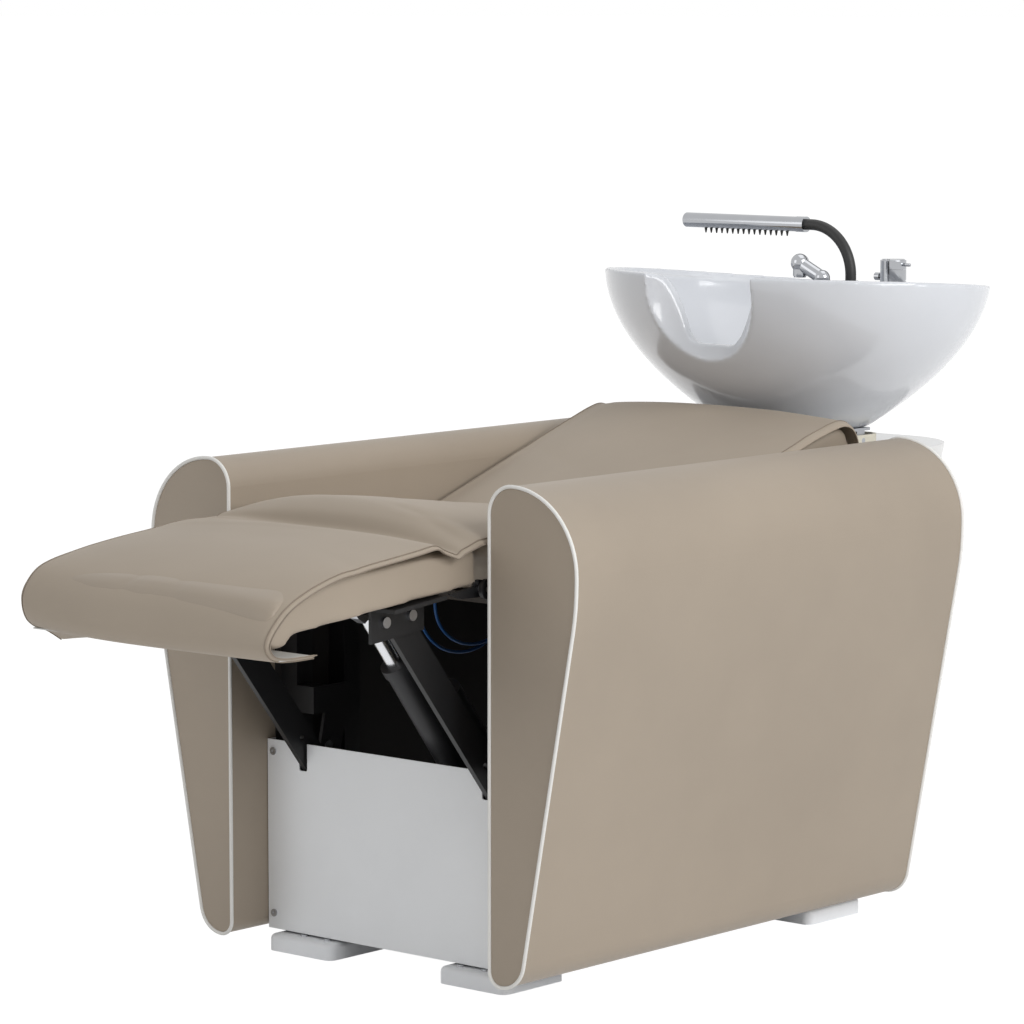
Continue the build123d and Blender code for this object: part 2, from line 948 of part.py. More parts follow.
def make_hinge():
    knuckle_x = leg_half_width - knuckle_inset
    eye = rod_x(knuckle_x, knuckle_x + knuckle_thickness, hinge_y, hinge_z, knuckle_radius)
    link = [
        (hinge_y - knuckle_length, under_z(hinge_y - knuckle_length)),
        (leg_rear - leg_board_rear_inset, under_z(leg_rear - leg_board_rear_inset)),
        (hinge_y, hinge_z + knuckle_radius),
        (hinge_y, hinge_z - knuckle_radius),
        (leg_rear - knuckle_length / 2, under_z(leg_rear - knuckle_length / 2) - knuckle_radius),
    ]
    knuckle = polygon(link, knuckle_x, knuckle_x + knuckle_thickness) + eye
    clear_top = board_points(hinge_y - overrun - knuckle_length, leg_rear + cover_gap, 0, overrun)
    knuckle -= polygon(clear_top, 0, side_face)
    knuckle -= rod_x(0, side_face, hinge_y, hinge_z, hinge_pin_radius + hinge_fit)
    save("hinge_knuckles", both(knuckle))
    plate_x = leg_half_width + hinge_plate_gap
    end_x = plate_x + hinge_plate_thickness
    rail_front = seat_board_front
    shape = [
        (hinge_y, hinge_z - hinge_plate_radius),
        (hinge_y, hinge_z + hinge_plate_radius),
        (rail_front, seat_board_low + hinge_plate_drop / 2),
        (rail_front, seat_rail_low),
    ]
    body = polygon(shape, plate_x, end_x)
    body += rod_x(plate_x, end_x, hinge_y, hinge_z, hinge_plate_radius)
    body -= rod_x(0, side_face, hinge_y, hinge_z, hinge_pin_radius + hinge_fit)
    save("hinge_plates", both(body))
    head_end = knuckle_x - hinge_fit
    head_start = head_end - pin_head_height
    pin = rod_x(head_start, end_x, hinge_y, hinge_z, hinge_pin_radius)
    pin += rod_x(head_start, head_end, hinge_y, hinge_z, pin_head_radius)
    save("hinge_pins", both(pin))


make_hinge()


# Swing arms that hang from the leg rest's board and pass through the panel's slots


arm_up = radians(arm_angle)


def arm_point(along, across):
    """A point of a swing arm, from lengths along it and square to it."""
    y = arm_low_y + along * cos(arm_up) - across * sin(arm_up)
    z = arm_low_z + along * sin(arm_up) + across * cos(arm_up)
    return (y, z)


def below_board(y0, y1, drop):
    """All the space above a line that runs a little under the leg rest's board."""
    return board_points(y0, y1, -drop, overrun + overrun)


def make_arms():
    x0 = arm_x - arm_thickness / 2
    x1 = arm_x + arm_thickness / 2
    half = arm_width / 2
    strip = [
        arm_point(0, half), arm_point(arm_length, half),
        arm_point(arm_length, -half), arm_point(0, -half),
    ]
    arm = polygon(strip, x0, x1)
    arm += rod_x(x0, x1, arm_low_y, arm_low_z, half)
    arm -= polygon(below_board(leg_nose, leg_rear, 0), 0, side_face)
    hole = arm_point(arm_bolt_down, 0)
    arm -= rod_x(0, side_face, hole[0], hole[1], bolt_radius)
    save("swing_arms", both(arm))
    centre_y = arm_point(arm_length - arm_width, 0)[0]
    y0 = centre_y - flange_length / 2
    y1 = centre_y + flange_length / 2
    flat = polygon(board_points(y0, y1, -flange_thickness, 0), x1, x1 + flange_width)
    leg = polygon(board_points(y0, y1, -flange_leg, 0), x1, x1 + flange_thickness)
    angle = flat + leg
    bolts = []
    for along in (-1, 1):
        spot_y = centre_y + along * flange_length / 4
        spot_z = under_z(spot_y) - flange_leg / 2
        start = x1 + flange_thickness
        head = rod_x(start, start + bolt_head_height, spot_y, spot_z, bolt_head_radius)
        bolts += both(head).solids()
    save("arm_angles", both(angle))
    save("arm_bolts", Compound(children=bolts))


make_arms()


# Guide brackets beside the arms' low ends, and every bolt head on the frame


def side_bolts():
    """Heads of the bolts that hold the sides to the uprights."""
    bolts = []
    for y in upright_rows:
        for z in (frame_top + upright_width, seat_rail_low - upright_width):
            bolt = rod_x(rail_inner - bolt_head_height, rail_inner, y, z, bolt_head_radius)
            bolts += both(bolt).solids()
    return bolts


def make_guides():
    x0 = arm_x + arm_thickness / 2 + guide_gap
    x1 = x0 + guide_thickness
    face_y = front_upright_y + upright_width / 2
    strip = [
        (guide_low_y - guide_width / 2, guide_low_z),
        (guide_low_y + guide_width / 2, guide_low_z - guide_width / 2),
        (face_y + guide_width, guide_high_z - guide_width),
        (face_y + guide_width, guide_high_z),
        (face_y, guide_high_z),
    ]
    body = plate(strip, guide_thickness / 2, x0, x1)
    low = guide_high_z - guide_width
    start = face_y - upright_width
    body += block(x0, rail_inner, start, face_y, low, guide_high_z)
    body += block(x0, x1, start, face_y + guide_width / 2, low, guide_high_z)
    save("arm_guides", both(body))
    spot_z = guide_low_z + guide_width / 4
    bolt = rod_x(x0 - guide_gap / 2, x0, guide_low_y, spot_z, bolt_head_radius)
    save("frame_bolts", Compound(children=[*side_bolts(), *both(bolt).solids()]))


make_guides()


# Linear actuator that lifts the leg rest

actuator_length = hypot(rod_pivot_y - base_pivot_y, rod_pivot_z - base_pivot_z)
actuator_up = atan2(rod_pivot_z - base_pivot_z, rod_pivot_y - base_pivot_y)


def actuator_point(along, across):
    """A point in the actuator's plane, from lengths along it and square to it."""
    y = base_pivot_y + along * cos(actuator_up) - across * sin(actuator_up)
    z = base_pivot_z + along * sin(actuator_up) + across * cos(actuator_up)
    return (y, z)


def actuator_bar(start, end, across, radius):
    return tube_between(actuator_x, actuator_point(start, across), actuator_point(end, across), radius)


def make_actuator():
    tube_end = actuator_tube_start + actuator_tube_length
    tube = actuator_bar(actuator_tube_start, tube_end, 0, actuator_tube_radius)
    tube += actuator_bar(tube_end - actuator_cap_length, tube_end, 0, actuator_cap_radius)
    bore_start = actuator_tube_start + actuator_cap_length
    tube -= actuator_bar(bore_start, tube_end + overrun, 0, rod_radius + rod_fit)
    save("actuator_tube", tube)
    half = gearbox_width / 2
    x0 = actuator_x - half
    x1 = actuator_x + half
    front = actuator_tube_radius
    back = -motor_offset - motor_radius
    low = actuator_tube_start - gearbox_length / 2
    box_points = [
        actuator_point(low + gearbox_length / 4, front), actuator_point(actuator_tube_start, front),
        actuator_point(actuator_tube_start, back), actuator_point(low + gearbox_length / 4, back),
    ]
    gearbox = polygon(box_points, x0, x1)
    eye_half = base_eye_width / 2
    eye_left = actuator_x - eye_half
    eye_right = actuator_x + eye_half
    gearbox += rod_x(eye_left, eye_right, base_pivot_y, base_pivot_z, base_eye_radius)
    neck = [
        actuator_point(0, base_eye_radius), actuator_point(actuator_tube_start, base_eye_radius),
        actuator_point(actuator_tube_start, -base_eye_radius), actuator_point(0, -base_eye_radius),
    ]
    gearbox += polygon(neck, eye_left, eye_right)
    gearbox -= rod_x(0, side_face, base_pivot_y, base_pivot_z, actuator_pin_radius + hinge_fit)
    save("actuator_gearbox", gearbox)
    motor_end = actuator_tube_start + motor_length
    save("actuator_motor", actuator_bar(actuator_tube_start, motor_end, -motor_offset, motor_radius))
    rod_start = tube_end - rod_tail
    rod_end = actuator_length - rod_end_length / 2
    save("actuator_rod", actuator_bar(rod_start, rod_end, 0, rod_radius))
    width = rod_end_width / 2
    stop = actuator_length + actuator_pin_radius + open_pivot_end_play + rail_wall
    side = open_pivot_side_play + actuator_pin_radius + rail_wall + rail_wall
    head_points = [
        actuator_point(rod_end, width), actuator_point(rod_end + width, side),
        actuator_point(stop, side), actuator_point(stop, -side),
        actuator_point(rod_end + width, -side), actuator_point(rod_end, -width),
    ]
    thick = rod_end_thickness / 2
    head = polygon(head_points, actuator_x - thick, actuator_x + thick)
    reach = actuator_pin_radius + open_pivot_end_play
    slot_side = open_pivot_side_play + actuator_pin_radius
    near = actuator_length - reach
    far = actuator_length + reach
    slot_points = [
        actuator_point(near, slot_side), actuator_point(far, slot_side),
        actuator_point(far, -slot_side), actuator_point(near, -slot_side),
    ]
    head -= polygon(slot_points, 0, side_face)
    save("rod_end", head)


def clevis(pivot_y, pivot_z, points, half_gap):
    """Two equal plates either side of a pivot, with its hole."""
    plates = []
    for x0 in (actuator_x - half_gap - clevis_thickness, actuator_x + half_gap):
        body = polygon(points, x0, x0 + clevis_thickness)
        body += rod_x(x0, x0 + clevis_thickness, pivot_y, pivot_z, clevis_radius)
        body -= rod_x(0, side_face, pivot_y, pivot_z, actuator_pin_radius + hinge_fit)
        plates += body.solids()
    return Compound(children=plates)


def actuator_pin(pivot_y, pivot_z, half_gap):
    """A headed pin through a clevis."""
    end = half_gap + clevis_thickness
    start = actuator_x + end
    pin = rod_x(actuator_x - end, start, pivot_y, pivot_z, actuator_pin_radius)
    return pin + rod_x(start, start + pin_head_height, pivot_y, pivot_z, pin_head_radius)


def make_actuator_mounts():
    size = actuator_cross_size / 2
    y0 = actuator_cross_y - size
    y1 = actuator_cross_y + size
    z0 = actuator_cross_z - size
    z1 = actuator_cross_z + size
    tube = box_tube(-rail_inner, rail_inner, y0, y1, z0, z1, "X")
    half = base_eye_width / 2 + clevis_gap
    base_points = [
        (y0, z0), (base_pivot_y, base_pivot_z - clevis_radius),
        (base_pivot_y, base_pivot_z + clevis_radius), (y0, z1),
    ]
    save("actuator_mount", tube + clevis(base_pivot_y, base_pivot_z, base_points, half).solids())
    save("actuator_base_pin", actuator_pin(base_pivot_y, base_pivot_z, half))
    half = rod_end_thickness / 2 + clevis_gap
    front = rod_pivot_y - clevis_radius
    rear = rod_pivot_y + clevis_radius
    top_points = [
        (front, rod_pivot_z), (front, under_z(front)), (rear, under_z(rear)), (rear, rod_pivot_z),
    ]
    save("legrest_clevis", clevis(rod_pivot_y, rod_pivot_z, top_points, half))
    save("legrest_clevis_pin", actuator_pin(rod_pivot_y, rod_pivot_z, half))


make_actuator()
make_actuator_mounts()


# Control box under the seat board, with the two leads that hang below it

lead_paths = {
    "lead_outer": (lead_outer_x, [
        (-290.0, 487.0), (-290.0, 462.0), (-275.0, 434.0), (-247.0, 413.0), (-212.0, 404.0),
        (-176.0, 405.0), (-146.0, 417.0), (-127.0, 437.0), (-127.0, 460.0),
    ]),
    "lead_inner": (lead_inner_x, [
        (-276.0, 487.0), (-276.0, 466.0), (-264.0, 443.0), (-240.0, 425.0), (-210.0, 416.0),
        (-178.0, 416.0), (-152.0, 425.0), (-137.0, 441.0), (-137.0, 460.0),
    ]),
}


def lead_radii(points):
    """Arc radius at each inner point: as large as its two runs allow."""
    radii = []
    for before, here, after in zip(points, points[1:], points[2:]):
        first = Vector(0, here[0] - before[0], here[1] - before[1])
        second = Vector(0, after[0] - here[0], after[1] - here[1])
        half_turn = radians(first.get_angle(second)) / 2
        run = lead_bend_share * min(first.length, second.length)
        radii.append(run * cos(half_turn) / sin(half_turn))
    return radii


def make_leads():
    clips = []
    for name, (x, points) in lead_paths.items():
        path = FilletPolyline(*[(x, y, z) for y, z in points], radius=lead_radii(points))
        section = Plane(origin=path @ 0, z_dir=path % 0) * Circle(lead_radius)
        save(name, sweep(section, path=path))
        print(name, "bends", [round(radius) for radius in lead_radii(points)])
        y, z = points[0]
        half = lead_clip_size / 2
        depth = half - lead_radius
        clips += block(x - half, x + half, y - depth, y + depth, z, seat_board_low).solids()
        y, z = points[-1]
        clips += rod_z(x, y, z, seat_board_low - control_box_height, gland_radius).solids()
    save("lead_clips", Compound(children=clips))


def make_control_box():
    x0 = control_box_x - control_box_width / 2
    low = seat_board_low - control_box_height
    rear = control_box_y + control_box_length
    body = block(x0, x0 + control_box_width, control_box_y, rear, low, seat_board_low)
    body = fillet(body.edges().filter_by(Axis.Z), control_box_round)
    save("control_box", body)


make_leads()
make_control_box()


# Column behind the seat, with the post inside it


def column_face(half_width, rear, corner, z, inset):
    """A plan section of the column, shrunk by an inset."""
    points = [
        (-half_width + inset, column_front + inset), (half_width - inset, column_front + inset),
        (half_width - inset, rear - inset), (-half_width + inset, rear - inset),
    ]
    radii = [column_front_corner - inset, column_front_corner - inset, corner - inset, corner - inset]
    return Pos(0, 0, z) * make_face(FilletPolyline(*points, radius=radii, close=True))


def column_solid(z0, z1, inset):
    low = column_face(column_low_half_width, column_low_rear, column_low_corner, z0, inset)
    high = column_face(column_half_width, column_rear, column_corner, z1, inset)
    return loft([low, high], ruled=True)


def rounded_prism(half_width, half_depth, corner, z0, z1):
    """A rounded block in plan, centred under the basin."""
    points = [
        (-half_width, basin_y - half_depth), (half_width, basin_y - half_depth),
        (half_width, basin_y + half_depth), (-half_width, basin_y + half_depth),
    ]
    face = Pos(0, 0, z0) * make_face(FilletPolyline(*points, radius=corner, close=True))
    return extrude(face, amount=z1 - z0, dir=(0, 0, 1))


def make_column():
    body = column_solid(column_low, column_top, 0)
    hollow = column_solid(column_low, column_top, column_wall)
    head_top = column_top - column_wall
    body -= hollow & block(-side_outer, side_outer, 0, column_front + side_length, 0, head_top)
    mouth = rounded_prism(
        column_mouth_width / 2, column_mouth_depth / 2, column_mouth_corner,
        column_top - overrun, column_top + overrun,
    )
    body -= mouth
    arm_edge = column_arm_x + rail_width / 2 + column_arm_gap
    body -= block(-arm_edge, arm_edge, 0, post_y, 0, frame_top + column_arm_gap)
    save("column_cover", body)
    head_low = head_top - head_plate_thickness
    half = head_plate_width / 2
    head = block(-half, half, head_plate_front, head_plate_rear, head_low, head_top)
    head -= mouth
    size = post_size / 2
    front = post_y - size
    post = block(-size, size, front, front + post_size, frame_top, head_low)
    bore = size - post_wall
    low = frame_top - overrun
    post -= block(-bore, bore, post_y - bore, post_y + bore, low, head_low + overrun)
    save("column_post", post + head)


make_column()


# Cradle, and the saddle that tilts in it


def make_cradle():
    high = cradle_low + cradle_height
    outer = rounded_prism(cradle_half_width, cradle_half_depth, cradle_corner, cradle_low, high)
    w = cradle_wall
    inner = rounded_prism(
        cradle_half_width - w, cradle_half_depth - w, cradle_corner - w,
        cradle_low - overrun, cradle_low + overrun,
    )
    ring = outer - inner
    ring -= rod_x(-side_outer, side_outer, basin_y, pivot_z, pivot_pin_radius + hinge_fit)
    save("basin_cradle", ring)
    ear_out = cradle_half_width - w - saddle_gap
    ear_in = ear_out - saddle_thickness
    ear_radius = cradle_pivot_rise - saddle_gap
    top = basin_base - saddle_thickness
    plate_half = saddle_depth / 2
    saddle = block(-ear_out, ear_out, basin_y - plate_half, basin_y + plate_half, top, basin_base)
    ear = rod_x(ear_in, ear_out, basin_y, pivot_z, ear_radius)
    ear += block(ear_in, ear_out, basin_y - ear_radius, basin_y + ear_radius, pivot_z, top)
    saddle += ear + mirrored(ear)
    saddle -= rod_x(-side_outer, side_outer, basin_y, pivot_z, pivot_pin_radius + hinge_fit)
    tail_hole = drain_tail_radius + saddle_gap
    saddle -= rod_z(-bowl_floor_shift, basin_y, top - overrun, basin_base + overrun, tail_hole)
    save("basin_saddle", saddle)
    pin_in = ear_in - pin_head_height
    pin = rod_x(pin_in, cradle_half_width, basin_y, pivot_z, pivot_pin_radius)
    save("basin_pivot_pins", both(pin))


make_cradle()


# Basin of glazed ceramic, with the neck notch at its front


def rounded_share(step):
    """How far a bowl has opened out, from its base at 0 to its rim at 1."""
    return 1 - (1 - step) ** 2


def oval(x, z, half_width, half_depth):
    return Pos(x, basin_y, z) * Ellipse(half_width, half_depth)


def basin_outside():
    sections = []
    for step in (0, 0.12, 0.3, 0.5, 0.75, 1.04):
        share = basin_base_share + (1 - basin_base_share) * rounded_share(step)
        z = basin_base + step * basin_front_height
        sections.append(oval(0, z, share * basin_half_width, share * basin_half_depth))
    return loft(sections)


def basin_inside():
    low = basin_base + basin_floor
    rise = basin_front_height - basin_floor
    sections = []
    for step in (0, 0.1, 0.3, 0.55, 0.8, 1.04):
        share = bowl_floor_share + (1 - bowl_floor_share) * rounded_share(step)
        x = -bowl_floor_shift + (bowl_offset + bowl_floor_shift) * rounded_share(step)
        sections.append(oval(x, low + step * rise, share * bowl_half_width, share * bowl_half_depth))
    return loft(sections)


def above_rim(drop):
    """All the space above the rim's curve, lowered by a drop."""
    front = basin_y - basin_half_depth
    rear = basin_y + basin_half_depth
    front_z = basin_base + basin_front_height - drop
    middle_z = basin_base + basin_middle_height - drop
    rear_z = basin_base + basin_rear_height - drop
    high = front_z + overrun
    line = [
        Line((front - overrun, front_z), (front, front_z)),
        ThreePointArc((front, front_z), (basin_y, middle_z), (rear, rear_z)),
        Line((rear, rear_z), (rear + overrun, rear_z)),
        Line((rear + overrun, rear_z), (rear + overrun, high)),
        Line((rear + overrun, high), (front - overrun, high)),
        Line((front - overrun, high), (front - overrun, front_z)),
    ]
    face = Pos(-side_outer, 0, 0) * (Plane.YZ * make_face(Wire(line)))
    return extrude(face, amount=2 * side_outer, dir=(1, 0, 0))


def neck_form(grow):
    """The hollow that the neck makes in the basin's front wall."""
    ball = scale(Sphere(1), by=(neck_half_width + grow, neck_reach + grow, neck_height + grow))
    return Pos(0, basin_y - basin_half_depth, basin_base + neck_centre) * ball


def neck_mouth():
    """The open mouth over the neck's lip, drawn from the front."""
    rim = basin_base + basin_front_height
    low = basin_base + neck_lip_height
    high = rim + overrun
    wide = neck_mouth_half_width + overrun
    narrow = neck_mouth_half_width / 2
    points = [
        (-wide, high), (-wide, rim), (-neck_mouth_half_width, rim), (-narrow, low),
        (narrow, low), (neck_mouth_half_width, rim), (wide, rim), (wide, high),
    ]
    lip = neck_mouth_low_radius / 2
    radii = [0, 0, lip, lip, lip, lip, 0, 0]
    front = basin_y - basin_half_depth - overrun
    flat = FilletPolyline(*points, radius=radii, close=True)
    face = Plane(origin=(0, front, 0), x_dir=(1, 0, 0), z_dir=(0, -1, 0)) * make_face(flat)
    return extrude(face, amount=overrun + neck_reach + 2 * basin_wall, dir=(0, 1, 0))


def rim_drop(y):
    """How far the rim lies over the basin's base at y."""
    t = (y - basin_y) / basin_half_depth
    bend = (basin_front_height + basin_rear_height) / 2 - basin_middle_height
    return basin_middle_height + (basin_rear_height - basin_front_height) / 2 * t + bend * t * t


def tap_seat_z(y):
    """Height of the flat seat that is sunk in the deck for a tap at y."""
    return basin_base + rim_drop(y) - deck_drop - tap_seat_depth


def make_basin():
    body = basin_outside() - above_rim(0)
    inset = Pos(0, basin_y, 0) * Ellipse(basin_half_width - basin_wall, basin_half_depth - basin_wall)
    deck = extrude(inset, amount=basin_base + basin_front_height + overrun, dir=(0, 0, 1))
    deck = deck & above_rim(deck_drop)
    hollow = deck + basin_inside()
    hollow -= neck_form(basin_wall)
    body -= hollow
    body -= neck_form(0)
    body -= neck_mouth()
    x = -bowl_floor_shift
    body -= rod_z(x, basin_y, 0, basin_base + overrun + overrun, drain_radius)
    floor = basin_base + basin_floor
    flange_hole = drain_flange_radius + cover_gap
    body -= rod_z(x, basin_y, floor - drain_flange_thickness, floor + overrun, flange_hole)
    holes = [
        (handset_x, handset_y, collar_radius, stem_radius + sheet),
        (hose_x, hose_y, ferrule_radius, hose_radius + sheet),
        (mixer_x, mixer_y, mixer_radius, mixer_shank_radius),
    ]
    for tap_x, tap_y, radius, shank in holes:
        seat = tap_seat_z(tap_y)
        body -= rod_z(tap_x, tap_y, seat, seat + overrun, radius + tap_seat_margin)
        body -= rod_z(tap_x, tap_y, seat - mixer_shank_length - sheet, seat + overrun, shank + cover_gap)
    body = body.solids().sort_by(SortBy.VOLUME)[-1]
    save("basin", body)


def make_drain():
    x = -bowl_floor_shift
    floor = basin_base + basin_floor
    low = floor - drain_flange_thickness
    flange = rod_z(x, basin_y, low, floor, drain_flange_radius)
    tail_low = basin_base - drain_tail_length
    tail = rod_z(x, basin_y, tail_low, low, drain_tail_radius) + flange
    tail -= rod_z(x, basin_y, tail_low - overrun, floor + overrun, drain_tail_radius - sheet)
    save("drain_tail", tail)
    strainer_radius = drain_tail_radius - sheet - cover_gap
    plate_top = low + strainer_thickness
    strainer = rod_z(x, basin_y, low, plate_top, strainer_radius)
    for turn in range(8):
        angle = turn * pi / 4
        hole_x = x + strainer_radius * strainer_ring_share * cos(angle)
        hole_y = basin_y + strainer_radius * strainer_ring_share * sin(angle)
        strainer -= rod_z(hole_x, hole_y, low - overrun, plate_top + overrun, strainer_hole_radius)
    strainer -= rod_z(x, basin_y, low - overrun, plate_top + overrun, strainer_hole_radius)
    save("drain_strainer", strainer)


make_basin()
make_drain()


# Mixer with its turning cap and lever, and the diverter knob


def make_mixer():
    seat = tap_seat_z(mixer_y)
    top = seat + mixer_body_height
    body = rod_z(mixer_x, mixer_y, seat, top, mixer_radius)
    for step in range(groove_count):
        z0 = seat + groove_width + 2 * step * groove_width
        ring = rod_z(mixer_x, mixer_y, z0, z0 + groove_width, mixer_radius + overrun)
        ring -= rod_z(mixer_x, mixer_y, z0 - overrun, z0 + overrun, mixer_radius - groove_depth)
        body -= ring
    body += rod_z(mixer_x, mixer_y, seat - mixer_shank_length, seat, mixer_shank_radius)
    spindle_top = top + mixer_cap_height / 2
    body += rod_z(mixer_x, mixer_y, top, spindle_top, mixer_spindle_radius)
    knob_z = seat + diverter_height
    left = mixer_x - mixer_radius
    deep = left + diverter_stem_length
    body -= rod_x(left - overrun, deep, mixer_y, knob_z, diverter_stem_radius + hinge_fit)
    body -= block(left - overrun, left + groove_depth, mixer_y - diverter_radius, mixer_y + diverter_radius,
                  knob_z - diverter_radius, knob_z + diverter_radius)
    save("mixer_body", body)
    make_mixer_cap(top, spindle_top)
    knob_end = left + groove_depth - diverter_travel - sheet / 4
    knob = rod_x(knob_end - diverter_length, knob_end, mixer_y, knob_z, diverter_radius - groove_depth)
    knob += rod_x(knob_end, deep - diverter_travel, mixer_y, knob_z, diverter_stem_radius)
    save("diverter_knob", knob)


def make_mixer_cap(top, spindle_top):
    """The turning cap with its lid and lever, as one piece."""
    cap_low = top + mixer_cap_gap
    cap = rod_z(mixer_x, mixer_y, cap_low, cap_low + mixer_cap_height, mixer_radius)
    cap = fillet(cap.faces().sort_by(Axis.Z)[-1].edges(), cap_lid_inset / 2)
    socket = mixer_spindle_radius + hinge_fit
    cap -= rod_z(mixer_x, mixer_y, cap_low - overrun, spindle_top + mixer_cap_gap, socket)
    lever_z = cap_low + mixer_cap_height / 2
    lever_start = mixer_x + mixer_radius - lever_seat
    lever_end = mixer_x + mixer_radius + lever_length
    lever = rod_x(lever_start, lever_end, mixer_y, lever_z, lever_radius)
    lever = fillet(lever.faces().sort_by(Axis.X)[-1].edges(), lever_radius / 3)
    lid_low = cap_low + mixer_cap_height
    lid_high = lid_low + cap_lid_height
    lid = rod_z(mixer_x, mixer_y, lid_low, lid_high, mixer_radius - cap_lid_inset)
    save("mixer_cap", cap + lever + lid)


make_mixer()


# Hand shower in its deck collar


def make_handset():
    seat = tap_seat_z(handset_y)
    top = seat + collar_height
    bore = stem_radius + stem_fit
    collar = rod_z(handset_x, handset_y, seat, top, collar_radius)
    collar = fillet(collar.faces().sort_by(Axis.Z)[-1].edges(), collar_height / 3)
    collar += rod_z(handset_x, handset_y, seat - collar_depth, seat, stem_radius + sheet)
    collar -= rod_z(handset_x, handset_y, seat - collar_depth - overrun, top + overrun, bore)
    save("handset_collar", collar)
    head_x = handset_x - handset_lean
    head_z = seat + handset_rise
    shoulder_z = top + handset_shoulder
    stem = rod_z(handset_x, handset_y, top - stem_length, shoulder_z, stem_radius)
    axis = Vector(head_x - handset_x, 0, head_z - shoulder_z)
    plane = Plane(origin=(handset_x, handset_y, shoulder_z), z_dir=axis)
    neck = extrude(plane * Circle(handset_neck_radius), amount=axis.length)
    knuckle = Pos(handset_x, handset_y, shoulder_z) * Sphere(stem_radius)
    head = Pos(head_x, handset_y, head_z) * Sphere(handset_head_radius)
    barrel = rod_z(head_x, handset_y, head_z - spray_height + sheet, head_z, spray_radius)
    low = head_z - spray_height
    face = rod_z(head_x, handset_y, low, low + sheet, spray_radius - sheet / 2)
    for turn in range(8):
        angle = turn * pi / 4
        hole_x = head_x + spray_ring_radius * cos(angle)
        hole_y = handset_y + spray_ring_radius * sin(angle)
        face -= rod_z(hole_x, hole_y, low - overrun, low + sheet, spray_hole_radius)
    save("handset", stem + neck + knuckle + head + barrel + face)


make_handset()


# Massage shower: a swivelling hose bend that carries a bar of nozzles


def make_massage_shower():
    seat = tap_seat_z(hose_y)
    bore = hose_radius + swivel_fit
    ferrule = rod_z(hose_x, hose_y, seat, seat + ferrule_height, ferrule_radius)
    ferrule = fillet(ferrule.faces().sort_by(Axis.Z)[-1].edges(), ferrule_height / 6)
    ferrule += rod_z(hose_x, hose_y, seat - ferrule_depth, seat, hose_radius + sheet)
    ferrule -= rod_z(hose_x, hose_y, seat - overrun, seat + overrun, bore)
    save("hose_ferrule", ferrule)
    bar_right = hose_x - hose_bend_radius - hose_radius - sheet
    start = (hose_x, hose_y, seat - ferrule_depth)
    bend_start = (hose_x, hose_y, bar_height - hose_bend_radius)
    bend_end = (hose_x - hose_bend_radius, hose_y, bar_height)
    mid_share = cos(pi / 4)
    bend_mid = (
        hose_x - hose_bend_radius + hose_bend_radius * mid_share, hose_y,
        bar_height - hose_bend_radius + hose_bend_radius * mid_share,
    )
    path = Wire([
        Line(start, bend_start),
        ThreePointArc(bend_start, bend_mid, bend_end),
        Line(bend_end, (bar_right, hose_y, bar_height)),
    ])
    hose = sweep(Plane(origin=start, z_dir=(0, 0, 1)) * Circle(hose_radius), path=path)
    save("shower_hose", hose)
    bar_left = bar_right - bar_length
    cap_start = bar_right - bar_cap_length
    bar = rod_x(bar_left, cap_start, hose_y, bar_height, bar_radius)
    bar = fillet(bar.faces().sort_by(Axis.X)[0].edges(), bar_radius / 5)
    nozzles = []
    for step in range(nozzle_count):
        share = nozzle_start_share + (nozzle_end_share - nozzle_start_share) * step / (nozzle_count - 1)
        x = bar_left + share * bar_length
        top = bar_height - bar_radius + groove_depth
        height = nozzle_length + groove_depth
        cone = Pos(x, hose_y, top - height / 2) * Cone(nozzle_tip_radius, nozzle_radius, height)
        nozzles += cone.solids()
        bar -= rod_z(x, hose_y, bar_height - bar_radius - overrun, top, nozzle_radius + cover_gap / 4)
    save("spray_nozzles", Compound(children=nozzles))
    cap = rod_x(cap_start, bar_right, hose_y, bar_height, bar_radius + bar_cap_extra)
    save("massage_bar", bar + cap)


make_massage_shower()
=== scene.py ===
import json
import math
import bpy
import bmesh
import numpy as np
from mathutils import Matrix, Vector, noise


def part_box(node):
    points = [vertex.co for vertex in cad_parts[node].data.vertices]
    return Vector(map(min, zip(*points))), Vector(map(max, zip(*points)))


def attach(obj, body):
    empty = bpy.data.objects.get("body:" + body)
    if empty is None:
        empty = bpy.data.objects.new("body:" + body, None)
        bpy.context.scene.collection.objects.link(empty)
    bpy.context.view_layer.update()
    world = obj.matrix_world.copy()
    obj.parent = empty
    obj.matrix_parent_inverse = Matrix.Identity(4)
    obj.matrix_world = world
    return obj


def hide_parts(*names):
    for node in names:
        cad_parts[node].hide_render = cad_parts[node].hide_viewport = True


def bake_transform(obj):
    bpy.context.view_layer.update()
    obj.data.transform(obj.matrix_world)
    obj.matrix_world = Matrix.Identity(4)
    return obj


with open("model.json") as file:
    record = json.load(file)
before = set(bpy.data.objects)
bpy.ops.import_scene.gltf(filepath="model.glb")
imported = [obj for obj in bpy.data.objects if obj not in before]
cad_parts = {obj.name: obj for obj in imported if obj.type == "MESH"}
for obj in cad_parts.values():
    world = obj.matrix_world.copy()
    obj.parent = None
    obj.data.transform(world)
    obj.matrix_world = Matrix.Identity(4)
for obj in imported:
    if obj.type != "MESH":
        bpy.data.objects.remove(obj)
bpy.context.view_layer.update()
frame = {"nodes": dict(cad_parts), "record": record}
nodes = frame["nodes"]

SEED = 7
MM = 0.001
SHEET_THICKNESS = 2.4 * MM
SHARP_ANGLE = math.radians(30)
LIP_START = 0.965
PAD_VOXEL = 7 * MM
GLAZE_VOXEL = 3 * MM
LEAD_RADIUS = 2.2 * MM

# Dark lining inside the base, partly painted shade, in metres
LINING_X0 = 0.2265
LINING_X1 = 0.2278
LINING_FRONT = -0.322
LINING_REAR = 0.385
LINING_LOW = 0.05
LINING_TOP = 0.500

